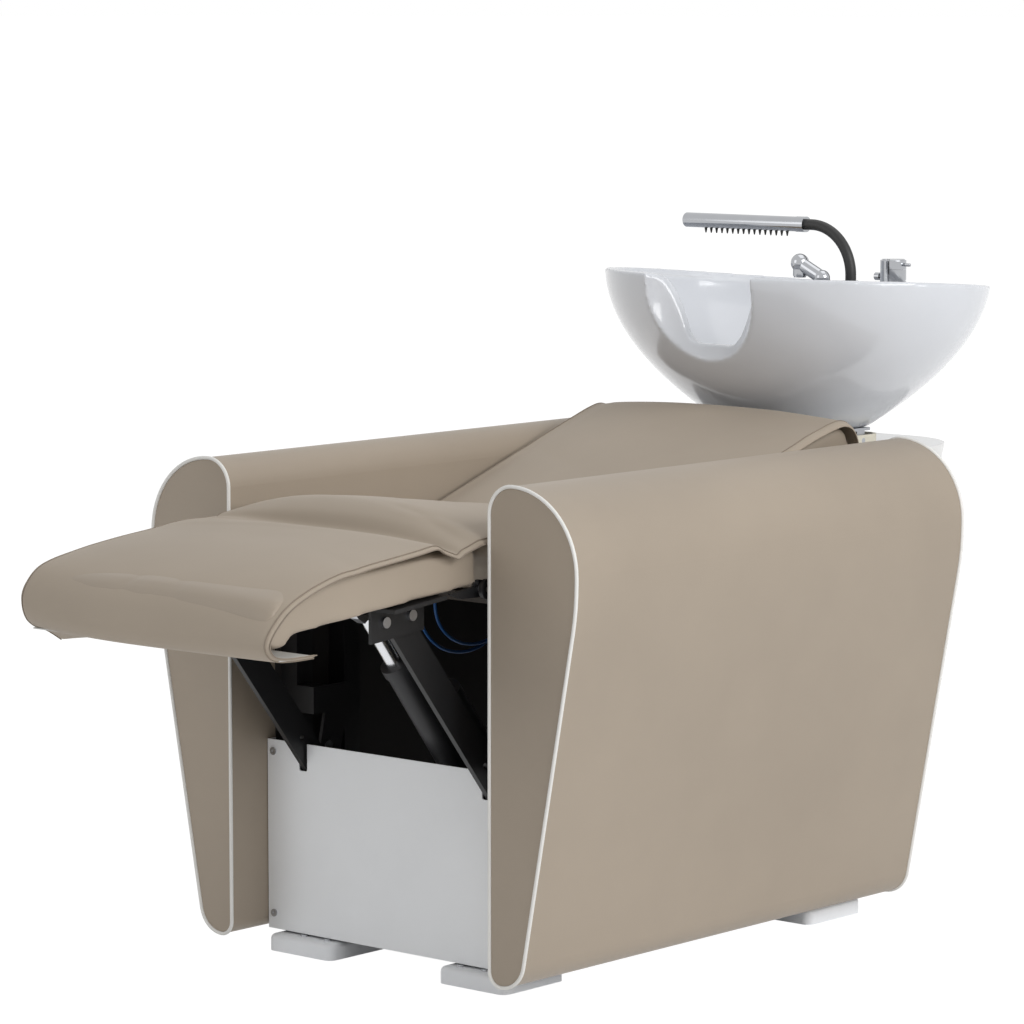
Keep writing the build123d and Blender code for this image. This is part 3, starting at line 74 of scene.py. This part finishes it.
# The backrest's foot in millimetres, and its slope
BACK_ANGLE = math.radians(18.7)
BACK_START_Y = -20.0
BACK_START_Z = 564.0


# Materials, all procedural


def new_material(name, color, roughness, metallic=0.0, coat=0.0, ior=1.5):
    material = bpy.data.materials.new(name)
    material.use_nodes = True
    shader = material.node_tree.nodes["Principled BSDF"]
    shader.inputs["Base Color"].default_value = (*color, 1)
    shader.inputs["Roughness"].default_value = roughness
    shader.inputs["Metallic"].default_value = metallic
    shader.inputs["Coat Weight"].default_value = coat
    shader.inputs["Coat Roughness"].default_value = 0.05
    shader.inputs["IOR"].default_value = ior
    return material, material.node_tree, shader


def mottle(tree, shader, color, amount, scale, stretch=(1, 1, 1)):
    """A slow change of colour over the surface."""
    coordinates = tree.nodes.new("ShaderNodeTexCoord")
    mapping = tree.nodes.new("ShaderNodeMapping")
    mapping.inputs["Scale"].default_value = stretch
    noise_node = tree.nodes.new("ShaderNodeTexNoise")
    noise_node.inputs["Scale"].default_value = scale
    noise_node.inputs["Detail"].default_value = 5
    ramp = tree.nodes.new("ShaderNodeValToRGB")
    ramp.color_ramp.elements[0].position = 0.3
    ramp.color_ramp.elements[1].position = 0.7
    ramp.color_ramp.elements[0].color = (*[c * (1 - amount) for c in color], 1)
    ramp.color_ramp.elements[1].color = (*[min(1, c * (1 + amount)) for c in color], 1)
    tree.links.new(coordinates.outputs["Object"], mapping.inputs["Vector"])
    tree.links.new(mapping.outputs["Vector"], noise_node.inputs["Vector"])
    tree.links.new(noise_node.outputs["Fac"], ramp.inputs["Fac"])
    tree.links.new(ramp.outputs["Color"], shader.inputs["Base Color"])
    return mapping


def grain(tree, shader, kind, scale, strength, distance):
    """A fine relief from one texture."""
    coordinates = tree.nodes.new("ShaderNodeTexCoord")
    texture = tree.nodes.new("ShaderNodeTexVoronoi" if kind == "cells" else "ShaderNodeTexNoise")
    texture.inputs["Scale"].default_value = scale
    bump = tree.nodes.new("ShaderNodeBump")
    bump.inputs["Strength"].default_value = strength
    bump.inputs["Distance"].default_value = distance
    tree.links.new(coordinates.outputs["Object"], texture.inputs["Vector"])
    source = texture.outputs["Distance"] if kind == "cells" else texture.outputs["Fac"]
    tree.links.new(source, bump.inputs["Height"])
    tree.links.new(bump.outputs["Normal"], shader.inputs["Normal"])


def leather(name, color, roughness=0.52):
    material, tree, shader = new_material(name, color, roughness)
    shader.inputs["Sheen Weight"].default_value = 0.08
    mottle(tree, shader, color, 0.05, 4)
    grain(tree, shader, "cells", 750, 0.12, 0.0006)
    return material


def plain(name, color, roughness, kind="noise", scale=300, strength=0.05, **more):
    material, tree, shader = new_material(name, color, roughness, **more)
    mottle(tree, shader, color, 0.03, 6)
    grain(tree, shader, kind, scale, strength, 0.0004)
    return material


def metal(name, color, roughness):
    material, tree, shader = new_material(name, color, roughness, metallic=1.0)
    mottle(tree, shader, color, 0.02, 40)
    return material


def wood(name, color):
    material, tree, shader = new_material(name, color, 0.6)
    mottle(tree, shader, color, 0.22, 18, (1, 12, 12))
    grain(tree, shader, "noise", 400, 0.1, 0.0004)
    return material


BEIGE = (0.366, 0.305, 0.239)
looks = {
    "leatherette": leather("leatherette", BEIGE),
    "cover_sheet": leather("cover_sheet", (0.392, 0.328, 0.258), 0.66),
    "piping": plain("piping", (0.82, 0.81, 0.78), 0.45),
    "panel_paint": plain("panel_paint", (0.92, 0.94, 0.96), 0.42, "cells", 900, 0.03),
    "feet": plain("feet", (0.92, 0.94, 0.97), 0.5, "noise", 500, 0.04),
    "frame_paint": plain("frame_paint", (0.008, 0.008, 0.009), 0.46),
    "zinc": metal("zinc", (0.50, 0.51, 0.53), 0.34),
    # The boards' colour is near black, far darker than bare plywood
    "plywood": wood("plywood", (0.045, 0.036, 0.028)),
    "black_plastic": plain("black_plastic", (0.018, 0.018, 0.02), 0.5, "cells", 700, 0.08),
    "silver": metal("silver", (0.72, 0.73, 0.75), 0.25),
    "lead_blue": plain("lead_blue", (0.015, 0.10, 0.32), 0.5),
    "column": plain("column", (0.80, 0.80, 0.79), 0.28, coat=0.3),
    "cradle": plain("cradle", (0.70, 0.66, 0.55), 0.45),
    "saddle": metal("saddle", (0.42, 0.43, 0.45), 0.4),
    "glaze": plain("glaze", (0.68, 0.70, 0.74), 0.17, "noise", 14, 0.02, coat=0.5),
    "chrome": metal("chrome", (0.43, 0.44, 0.46), 0.09),
    "hose_black": plain("hose_black", (0.012, 0.012, 0.012), 0.48, "noise", 900, 0.1),
}
# Near-black colour for the sheets inside the base: partly the base's dark inner panels, partly
# painted shade where the inside lies in deep shade
lining_and_shade = plain("lining_and_shade", (0.018, 0.016, 0.015), 0.8, "noise", 600, 0.2)
thread = plain("thread", (0.26, 0.215, 0.17), 0.8)
backing = plain("backing", (0.62, 0.62, 0.60), 0.8, "noise", 500, 0.1)

for entry in frame["record"]["subparts"]:
    piece = nodes[entry["node"]]
    piece.data.materials.clear()
    piece.data.materials.append(looks[entry["material_slot"]])


# Helpers for the pieces made here


def place(name, data):
    """A new object in the scene."""
    obj = bpy.data.objects.new(name, data)
    bpy.context.scene.collection.objects.link(obj)
    return obj


def shade_smooth(mesh, smooth=True):
    mesh.polygons.foreach_set("use_smooth", [smooth] * len(mesh.polygons))


def add_mesh(name, vertices, faces, material, smooth=True):
    mesh = bpy.data.meshes.new(name)
    mesh.from_pydata([tuple(v) for v in vertices], [], faces)
    mesh.update()
    mesh.materials.append(material)
    shade_smooth(mesh, smooth)
    return place(name, mesh)


def final_mesh(obj):
    """The object's mesh with its modifiers applied."""
    graph = bpy.context.evaluated_depsgraph_get()
    return bpy.data.meshes.new_from_object(obj.evaluated_get(graph))


def settle(obj):
    """Applies every modifier, so that the mesh is final."""
    mesh = final_mesh(obj)
    obj.modifiers.clear()
    obj.data = mesh
    shade_smooth(mesh)
    return obj


def remesh_smoothly(obj, voxel, iterations):
    """One closed skin over the mesh, with its corners eased."""
    remesh = obj.modifiers.new("remesh", "REMESH")
    remesh.mode = "VOXEL"
    remesh.voxel_size = voxel
    settle(obj)
    smooth = obj.modifiers.new("smooth", "SMOOTH")
    smooth.factor = 0.5
    smooth.iterations = iterations
    settle(obj)


def subdivide(obj):
    finer = obj.modifiers.new("finer", "SUBSURF")
    finer.levels = 1
    return settle(obj)


def copy_of(node, name, material):
    mesh = nodes[node].data.copy()
    obj = place(name, mesh)
    mesh.materials.clear()
    mesh.materials.append(material)
    tool = bmesh.new()
    tool.from_mesh(mesh)
    bmesh.ops.remove_doubles(tool, verts=tool.verts, dist=0.00002)
    tool.to_mesh(mesh)
    tool.free()
    return obj


def points_of(mesh):
    flat = np.empty(len(mesh.vertices) * 3)
    mesh.vertices.foreach_get("co", flat)
    return flat.reshape(-1, 3)


def normals_of(mesh):
    flat = np.empty(len(mesh.vertices) * 3)
    mesh.vertex_normals.foreach_get("vector", flat)
    return flat.reshape(-1, 3)


def move_points(mesh, points):
    mesh.vertices.foreach_set("co", points.ravel())
    mesh.update()


def take_in_board(obj, board_node):
    """Adds the board to the pad's mesh, as wide and long as the cover that wraps it."""
    board = copy_of(board_node, board_node + "_wrapped", looks["leatherette"])
    low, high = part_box(board_node)
    middle = (low + high) / 2
    size = high - low
    wrap = 18 * MM
    grown = ((size.x + wrap) / size.x, (size.y + wrap) / size.y, 1.0, 1.0)
    there = Matrix.Translation(middle)
    back = Matrix.Translation(-middle)
    board.data.transform(there @ Matrix.Diagonal(grown) @ back)
    tool = bmesh.new()
    tool.from_mesh(obj.data)
    tool.from_mesh(board.data)
    tool.to_mesh(obj.data)
    tool.free()
    bpy.data.objects.remove(board)


def blow_up(obj, most):
    """Fills the pad as cloth under pressure, each point moving no further than most."""
    start = points_of(obj.data)
    cloth = obj.modifiers.new("cloth", "CLOTH")
    cloth.settings.use_pressure = True
    cloth.settings.uniform_pressure_force = 4
    cloth.settings.effector_weights.gravity = 0
    for step in range(1, 21):
        bpy.context.scene.frame_set(step)
    settle(obj)
    bpy.context.scene.frame_set(1)
    moved = points_of(obj.data) - start
    far = np.linalg.norm(moved, axis=1)
    scale = np.minimum(1, most / np.maximum(far, 1e-9))
    move_points(obj.data, start + moved * scale[:, None])


def stuffed(node, name, body, shrink, most, inner=None):
    """A stuffed pad: the CAD solid, with its board inside, drawn in and blown up a little."""
    obj = copy_of(node, name, looks["leatherette"])
    if inner:
        take_in_board(obj, inner)
    remesh_smoothly(obj, PAD_VOXEL, 4)
    move_points(obj.data, points_of(obj.data) - normals_of(obj.data) * shrink)
    blow_up(obj, most)
    subdivide(obj)
    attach(obj, body)
    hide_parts(node, *([inner] if inner else []))
    return obj


def catmull(keys, t):
    """A smooth path through rows of numbers, t from 0 to 1."""
    spot = t * (len(keys) - 1)
    i = min(int(spot), len(keys) - 2)
    f = spot - i
    a = keys[max(i - 1, 0)]
    b = keys[i]
    c = keys[i + 1]
    d = keys[min(i + 2, len(keys) - 1)]
    path = []
    for p, q, r, s in zip(a, b, c, d):
        square = (2 * p - 5 * q + 4 * r - s) * f * f
        cube = (3 * q - p - 3 * r + s) * f ** 3
        path.append(0.5 * (2 * q + (r - p) * f + square + cube))
    return path


def sheet_points(keys, rows, columns, half_of, power, lip, wrinkle):
    """Grid of a sheet: each key is near y, z, middle y, z, far y, z, in millimetres.

    Power sets how square the crown is across, lip how far the edges turn down; a lip
    under zero is for keys that run the other way along Y.
    """
    grid = []
    for i in range(rows + 1):
        t = i / rows
        near_y, near_z, mid_y, mid_z, far_y, far_z = catmull(keys, t)
        half = half_of(t)
        row = []
        for j in range(columns + 1):
            v = 2 * j / columns - 1
            v = math.sin(v * math.pi / 2) * 0.35 + v * 0.65
            weight = 1 - abs(v) ** power
            edge_y, edge_z = (near_y, near_z) if v > 0 else (far_y, far_z)
            x = v * half
            y = edge_y + (mid_y - edge_y) * weight
            z = edge_z + (mid_z - edge_z) * weight
            drop = max(0.0, (abs(v) - LIP_START) / (1 - LIP_START))
            point = Vector((x, y, z)) * MM
            row.append((point, drop, v))
        grid.append(row)
    finished = []
    for i, row in enumerate(grid):
        line = []
        for j, (point, drop, v) in enumerate(row):
            before = grid[max(i - 1, 0)][j][0]
            after = grid[min(i + 1, rows)][j][0]
            along = (after - before).normalized()
            out = along.cross(Vector((1, 0, 0)))
            if lip < 0:
                out = -out
            shift = wrinkle(point, v) - abs(lip) * MM * drop ** 1.6
            line.append(point + out * shift)
        finished.append(line)
    return finished


def sheet_mesh(name, grid):
    """The grid as a sheet of real thickness, its upper side where the grid is."""
    rows = len(grid)
    columns = len(grid[0])
    vertices = [p for row in grid for p in row]
    faces = []
    for i in range(rows - 1):
        for j in range(columns - 1):
            a = i * columns + j
            faces.append((a, a + 1, a + columns + 1, a + columns))
    obj = add_mesh(name, vertices, faces, looks["cover_sheet"])
    tool = bmesh.new()
    tool.from_mesh(obj.data)
    bmesh.ops.recalc_face_normals(tool, faces=tool.faces)
    tool.to_mesh(obj.data)
    tool.free()
    middle = obj.data.polygons[len(faces) // 3]
    if middle.normal.z < 0:
        obj.data.flip_normals()
    solid = obj.modifiers.new("thickness", "SOLIDIFY")
    solid.thickness = SHEET_THICKNESS
    solid.offset = -1
    return subdivide(obj)


def thread_along(name, points, radius):
    """A line of stitching through points of a sheet."""
    curve = bpy.data.curves.new(name, "CURVE")
    curve.dimensions = "3D"
    curve.bevel_depth = radius
    curve.bevel_resolution = 2
    spline = curve.splines.new("POLY")
    spline.points.add(len(points) - 1)
    for target, point in zip(spline.points, points):
        target.co = (*point, 1)
    curve.use_fill_caps = True
    maker = place(name, curve)
    mesh = final_mesh(maker)
    bpy.data.objects.remove(maker)
    mesh.materials.clear()
    mesh.materials.append(thread)
    shade_smooth(mesh)
    obj = place(name, mesh)
    return obj


def bell(value, middle, width):
    return math.exp(-((value - middle) / width) ** 2)


# Stuffed pads under the sheets

seat_pad = stuffed("seat_cushion", "seat_pad", "base", 0.0035, 0.0045)
back_pad = stuffed("backrest_cushion", "back_pad", "base", 0.0035, 0.0045)
leg_pad = stuffed("legrest_cushion", "leg_pad", "leg_rest", 0.0030, 0.0040, inner="legrest_board")


# The one sheet that runs from the crease of the seat over the hinge and the leg rest

# Each row is y, z at the near edge, in the middle and at the far edge, in millimetres
LEG_SHEET = [
    (-27, 567, -27, 580, -27, 567),
    (-75, 569, -75, 586, -75, 569),
    (-130, 573, -130, 592, -130, 573),
    (-190, 578, -190, 600, -190, 577),
    (-250, 583, -250, 608, -250, 581),
    (-310, 588, -310, 616, -310, 586),
    (-360, 592, -362, 622, -360, 590),
    (-398, 589, -402, 624, -400, 592),
    (-432, 583, -433, 611, -432, 591),
    (-456, 577, -449, 592, -460, 590),
    (-474, 582, -470, 593, -480, 590),
    (-492, 590, -500, 597, -505, 589.5),
    (-528, 586, -530, 596, -530, 586.5),
    (-575, 581, -575, 592, -572, 582),
    (-620, 576, -620, 588, -620, 577.5),
    (-665, 570.5, -665, 581, -662, 573),
    (-700, 562, -702, 573, -698, 567.5),
    (-732, 551, -736, 562, -735, 561),
    (-757, 539, -764, 548, -760, 552.5),
    (-776, 524, -783, 530, -777, 538),
    (-790, 508, -792, 510, -786, 522),
    (-794, 494, -794, 493, -786, 505),
    (-786, 481, -787, 480, -779, 489),
    (-771, 475, -772, 474, -765, 478),
    (-748, 473, -748, 472, -745, 470),
    (-709, 473, -709, 471, -722, 455),
]


def leg_half(t):
    return 224.0 - 4.5 * min(1.0, max(0.0, (t - 0.26) / 0.1))


def leg_wrinkle(p, v):
    y = p.y * 1000
    x = p.x * 1000
    lift = 0.0
    lift -= 3.2 * bell(y, -449 - 4 * v, 5) * (0.55 + 0.45 * abs(v))
    lift += 2.2 * bell(y, -423 + 9 * v, 9) * bell(v, 0.75, 0.35)
    lift -= 2.0 * bell(y + 0.22 * x, -388, 7) * bell(v, 0.55, 0.4)
    lift += 1.6 * bell(y - 0.12 * x, -505, 12) * bell(v, -0.3, 0.7)
    lift -= 1.0 * bell(y + 0.35 * x, -560, 14) * bell(v, 0.9, 0.3)
    lift += 0.9 * noise.noise(Vector((x / 95, y / 75, SEED)))
    return lift * MM


leg_grid = sheet_points(LEG_SHEET, 150, 56, leg_half, 2.6, 5, leg_wrinkle)
leg_sheet = sheet_mesh("leg_and_seat_sheet", leg_grid)
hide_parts("legrest_cover")
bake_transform(leg_sheet)

# Stitching on the last columns of the grid, from the front of the seat on
SEAT_FRONT_ROW = 30
for side, column in (("near", 55), ("far", 1), ("near_edge", 56), ("far_edge", 0)):
    line = [row[column] for row in leg_grid[SEAT_FRONT_ROW:]]
    seam = thread_along(f"leg_sheet_seam_{side}", line, 0.8 * MM)
    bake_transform(seam)


# The sheet over the backrest


def back_place(along, up):
    """Y and Z in millimetres, from lengths along the backrest and square to it."""
    y = BACK_START_Y + along * math.cos(BACK_ANGLE) - up * math.sin(BACK_ANGLE)
    z = BACK_START_Z + along * math.sin(BACK_ANGLE) + up * math.cos(BACK_ANGLE)
    return y, z


# Each row is a length along the backrest, then heights over it: near edge, middle, far edge
BACK_SHEET = [
    (4, 3, 12.5, 3), (60, 4, 13.5, 3), (120, 6, 14, 3), (180, 8, 14.5, 3), (235, 9, 14.5, 3.5),
    (280, 8, 14.5, 4), (320, 6, 14.5, 4), (350, 4, 14, 3), (372, 0, 11, 0), (388, -9, 3, -9),
    (397, -22, -12, -22), (400, -36, -34, -36), (400, -48, -48, -48),
]
back_keys = []
for along, *heights in BACK_SHEET:
    back_keys.append([value for up in heights for value in back_place(along, up)])


def back_wrinkle(p, v):
    x = p.x * 1000
    y = p.y * 1000
    lift = 0.8 * noise.noise(Vector((x / 90, y / 110, SEED + 3)))
    lift += 1.2 * bell(y - 0.35 * x, 190, 20) * bell(v, 0.85, 0.25)
    lift -= 1.0 * bell(y + 0.5 * x, 70, 18) * bell(v, -0.6, 0.5)
    lift -= 1.6 * bell(v, -0.90, 0.05)
    return lift * MM


back_grid = sheet_points(back_keys, 90, 56, lambda t: 225.0, 2.4, -6, back_wrinkle)
back_sheet = sheet_mesh("backrest_sheet", back_grid)
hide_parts("backrest_cover")
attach(back_sheet, "base")
for side, column in (("near", 54), ("far", 2)):
    seam = thread_along(f"backrest_seam_{side}", [row[column] for row in back_grid], 0.9 * MM)
    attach(seam, "base")


# Basin of glazed ceramic, its edges softened as glaze softens them

basin = copy_of("basin", "basin_glaze", looks["glaze"])
remesh_smoothly(basin, GLAZE_VOXEL, 10)
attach(basin, "basin_group")
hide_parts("basin")


# Dark lining inside the base, partly painted shade where the inside of the base lies in deep
# shade, and the pale inner face of the leg rest's flap


def slab(name, low, high, material):
    x0, y0, z0 = low
    x1, y1, z1 = high
    vertices = [(x, y, z) for x in (x0, x1) for y in (y0, y1) for z in (z0, z1)]
    faces = [(0, 1, 3, 2), (4, 6, 7, 5), (0, 4, 5, 1), (2, 3, 7, 6), (0, 2, 6, 4), (1, 5, 7, 3)]
    return add_mesh(name, vertices, faces, material, smooth=False)


# Sheets over the inner faces of the sides and the rear panel, near black, in part as painted shade
for side, name in ((1, "lining_and_shade_right"), (-1, "lining_and_shade_left")):
    x0, x1 = sorted((side * LINING_X0, side * LINING_X1))
    low = (x0, LINING_FRONT, LINING_LOW)
    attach(slab(name, low, (x1, LINING_REAR, LINING_TOP), lining_and_shade), "base")
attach(slab("lining_and_shade_rear", (-0.195, 0.3905, 0.066), (0.195, 0.3925, 0.44), lining_and_shade), "base")
flap_backing = slab("flap_backing", (-0.212, -0.770, 0.4762), (0.2165, -0.714, 0.4778), backing)
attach(flap_backing, "leg_rest")


# The two leads, on smooth curves through the route's points

LEADS = {
    "lead_outer": (2.0, [
        (-290, 487), (-290, 462), (-275, 434), (-247, 413), (-212, 404),
        (-176, 405), (-146, 417), (-127, 437), (-127, 460),
    ]),
    "lead_inner": (18.0, [
        (-276, 487), (-276, 466), (-264, 443), (-240, 425), (-210, 416),
        (-178, 416), (-152, 425), (-137, 441), (-137, 460),
    ]),
}


def lead(node, x, route):
    """One lead as a free cord from its clip to the control box."""
    curve = bpy.data.curves.new(node + "_flex", "CURVE")
    curve.dimensions = "3D"
    curve.bevel_depth = LEAD_RADIUS
    curve.bevel_resolution = 3
    curve.resolution_u = 12
    curve.use_fill_caps = True
    spline = curve.splines.new("NURBS")
    spline.points.add(len(route) - 1)
    for target, (y, z) in zip(spline.points, route):
        target.co = (x * MM, y * MM, z * MM, 1)
    spline.order_u = 3
    spline.use_endpoint_u = True
    obj = place(node + "_flex", curve)
    curve.materials.append(looks["lead_blue"])
    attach(obj, "base")
    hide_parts(node)


for lead_node, (lead_x, lead_route) in LEADS.items():
    lead(lead_node, lead_x, lead_route)


# Smooth shading on the rounded CAD nodes, with their sharp edges kept

for name, node in nodes.items():
    if node.hide_render:
        continue
    shade_smooth(node.data)
    node.data.set_sharp_from_angle(angle=SHARP_ANGLE)


# Camera at the photograph's viewpoint

PHOTO_WIDTH_PX = 1024
FOCAL_LENGTH_PX = 4367.2097
SENSOR_WIDTH = 36
CAMERA_PLACE = (3.7960, -4.4509, 1.2489)
azimuth = math.radians(41.12027)
pitch = math.radians(6.601436)
ahead = math.cos(pitch)
forward = Vector((-math.sin(azimuth) * ahead, math.cos(azimuth) * ahead, -math.sin(pitch)))
right = Vector((math.cos(azimuth), math.sin(azimuth), 0))
up = right.cross(forward)
camera_data = bpy.data.cameras.new("camera")
camera_data.sensor_width = SENSOR_WIDTH
camera_data.lens = FOCAL_LENGTH_PX / PHOTO_WIDTH_PX * SENSOR_WIDTH
camera_data.clip_end = 1500
camera = place("camera", camera_data)
rotation = Matrix((right, up, -forward)).transposed().to_4x4()
camera.matrix_world = Matrix.Translation(CAMERA_PLACE) @ rotation
bpy.context.scene.camera = camera


# Plain pale floor and soft studio light


def seen_share(tree):
    """A socket that is 1 on rays that show the background, straight, in gloss or through glass."""
    path = tree.nodes.new("ShaderNodeLightPath")
    either = tree.nodes.new("ShaderNodeMath")
    either.operation = "MAXIMUM"
    any_of = tree.nodes.new("ShaderNodeMath")
    any_of.operation = "MAXIMUM"
    tree.links.new(path.outputs["Is Camera Ray"], either.inputs[0])
    tree.links.new(path.outputs["Is Glossy Ray"], either.inputs[1])
    tree.links.new(either.outputs[0], any_of.inputs[0])
    tree.links.new(path.outputs["Is Transmission Ray"], any_of.inputs[1])
    return any_of.outputs[0]


def backdrop_material():
    """Mostly white where the camera looks, and plain matte for the light on the object."""
    material = bpy.data.materials.new("floor")
    material.use_nodes = True
    tree = material.node_tree
    tree.nodes.clear()
    output = tree.nodes.new("ShaderNodeOutputMaterial")
    matte = tree.nodes.new("ShaderNodeBsdfDiffuse")
    matte.inputs["Color"].default_value = (0.9, 0.9, 0.9, 1)
    glow = tree.nodes.new("ShaderNodeEmission")
    glow.inputs["Strength"].default_value = 1.12
    share = tree.nodes.new("ShaderNodeMath")
    share.operation = "MULTIPLY"
    share.inputs[1].default_value = 0.9
    mix = tree.nodes.new("ShaderNodeMixShader")
    tree.links.new(seen_share(tree), share.inputs[0])
    tree.links.new(share.outputs[0], mix.inputs["Fac"])
    tree.links.new(matte.outputs[0], mix.inputs[1])
    tree.links.new(glow.outputs[0], mix.inputs[2])
    tree.links.new(mix.outputs[0], output.inputs["Surface"])
    return material


FLOOR_HALF = 400
corners = [(x * FLOOR_HALF, y * FLOOR_HALF, 0) for x, y in ((-1, -1), (1, -1), (1, 1), (-1, 1))]
floor = add_mesh("floor", corners, [(0, 1, 2, 3)], backdrop_material())

world = bpy.data.worlds.new("studio")
world.use_nodes = True
bpy.context.scene.world = world
tree = world.node_tree
tree.nodes.clear()
world_out = tree.nodes.new("ShaderNodeOutputWorld")
seen = tree.nodes.new("ShaderNodeBackground")
seen.inputs["Color"].default_value = (1, 1, 1, 1)
seen.inputs["Strength"].default_value = 1.0
ambient = tree.nodes.new("ShaderNodeBackground")
ambient.inputs["Color"].default_value = (1, 1, 1, 1)
ambient.inputs["Strength"].default_value = 0.46
world_mix = tree.nodes.new("ShaderNodeMixShader")
tree.links.new(seen_share(tree), world_mix.inputs["Fac"])
tree.links.new(ambient.outputs[0], world_mix.inputs[1])
tree.links.new(seen.outputs[0], world_mix.inputs[2])
tree.links.new(world_mix.outputs[0], world_out.inputs["Surface"])


def softbox(name, spot, target, size, power):
    """A rectangular lamp that faces its target."""
    light = bpy.data.lights.new(name, "AREA")
    light.shape = "RECTANGLE"
    light.size = size[0]
    light.size_y = size[1]
    light.energy = power
    obj = place(name, light)
    obj.location = spot
    obj.rotation_euler = (Vector(target) - Vector(spot)).to_track_quat("-Z", "Y").to_euler()


softbox("key", (4.2, -0.2, 2.5), (0, 0, 0.4), (2.8, 2.4), 106)
softbox("fill", (-2.0, -4.0, 2.2), (0, -0.2, 0.4), (2.6, 2.6), 20)
softbox("top", (0.4, 0.8, 3.6), (0, 0, 0.5), (2.6, 2.0), 14)

bpy.context.scene.view_settings.view_transform = "Standard"
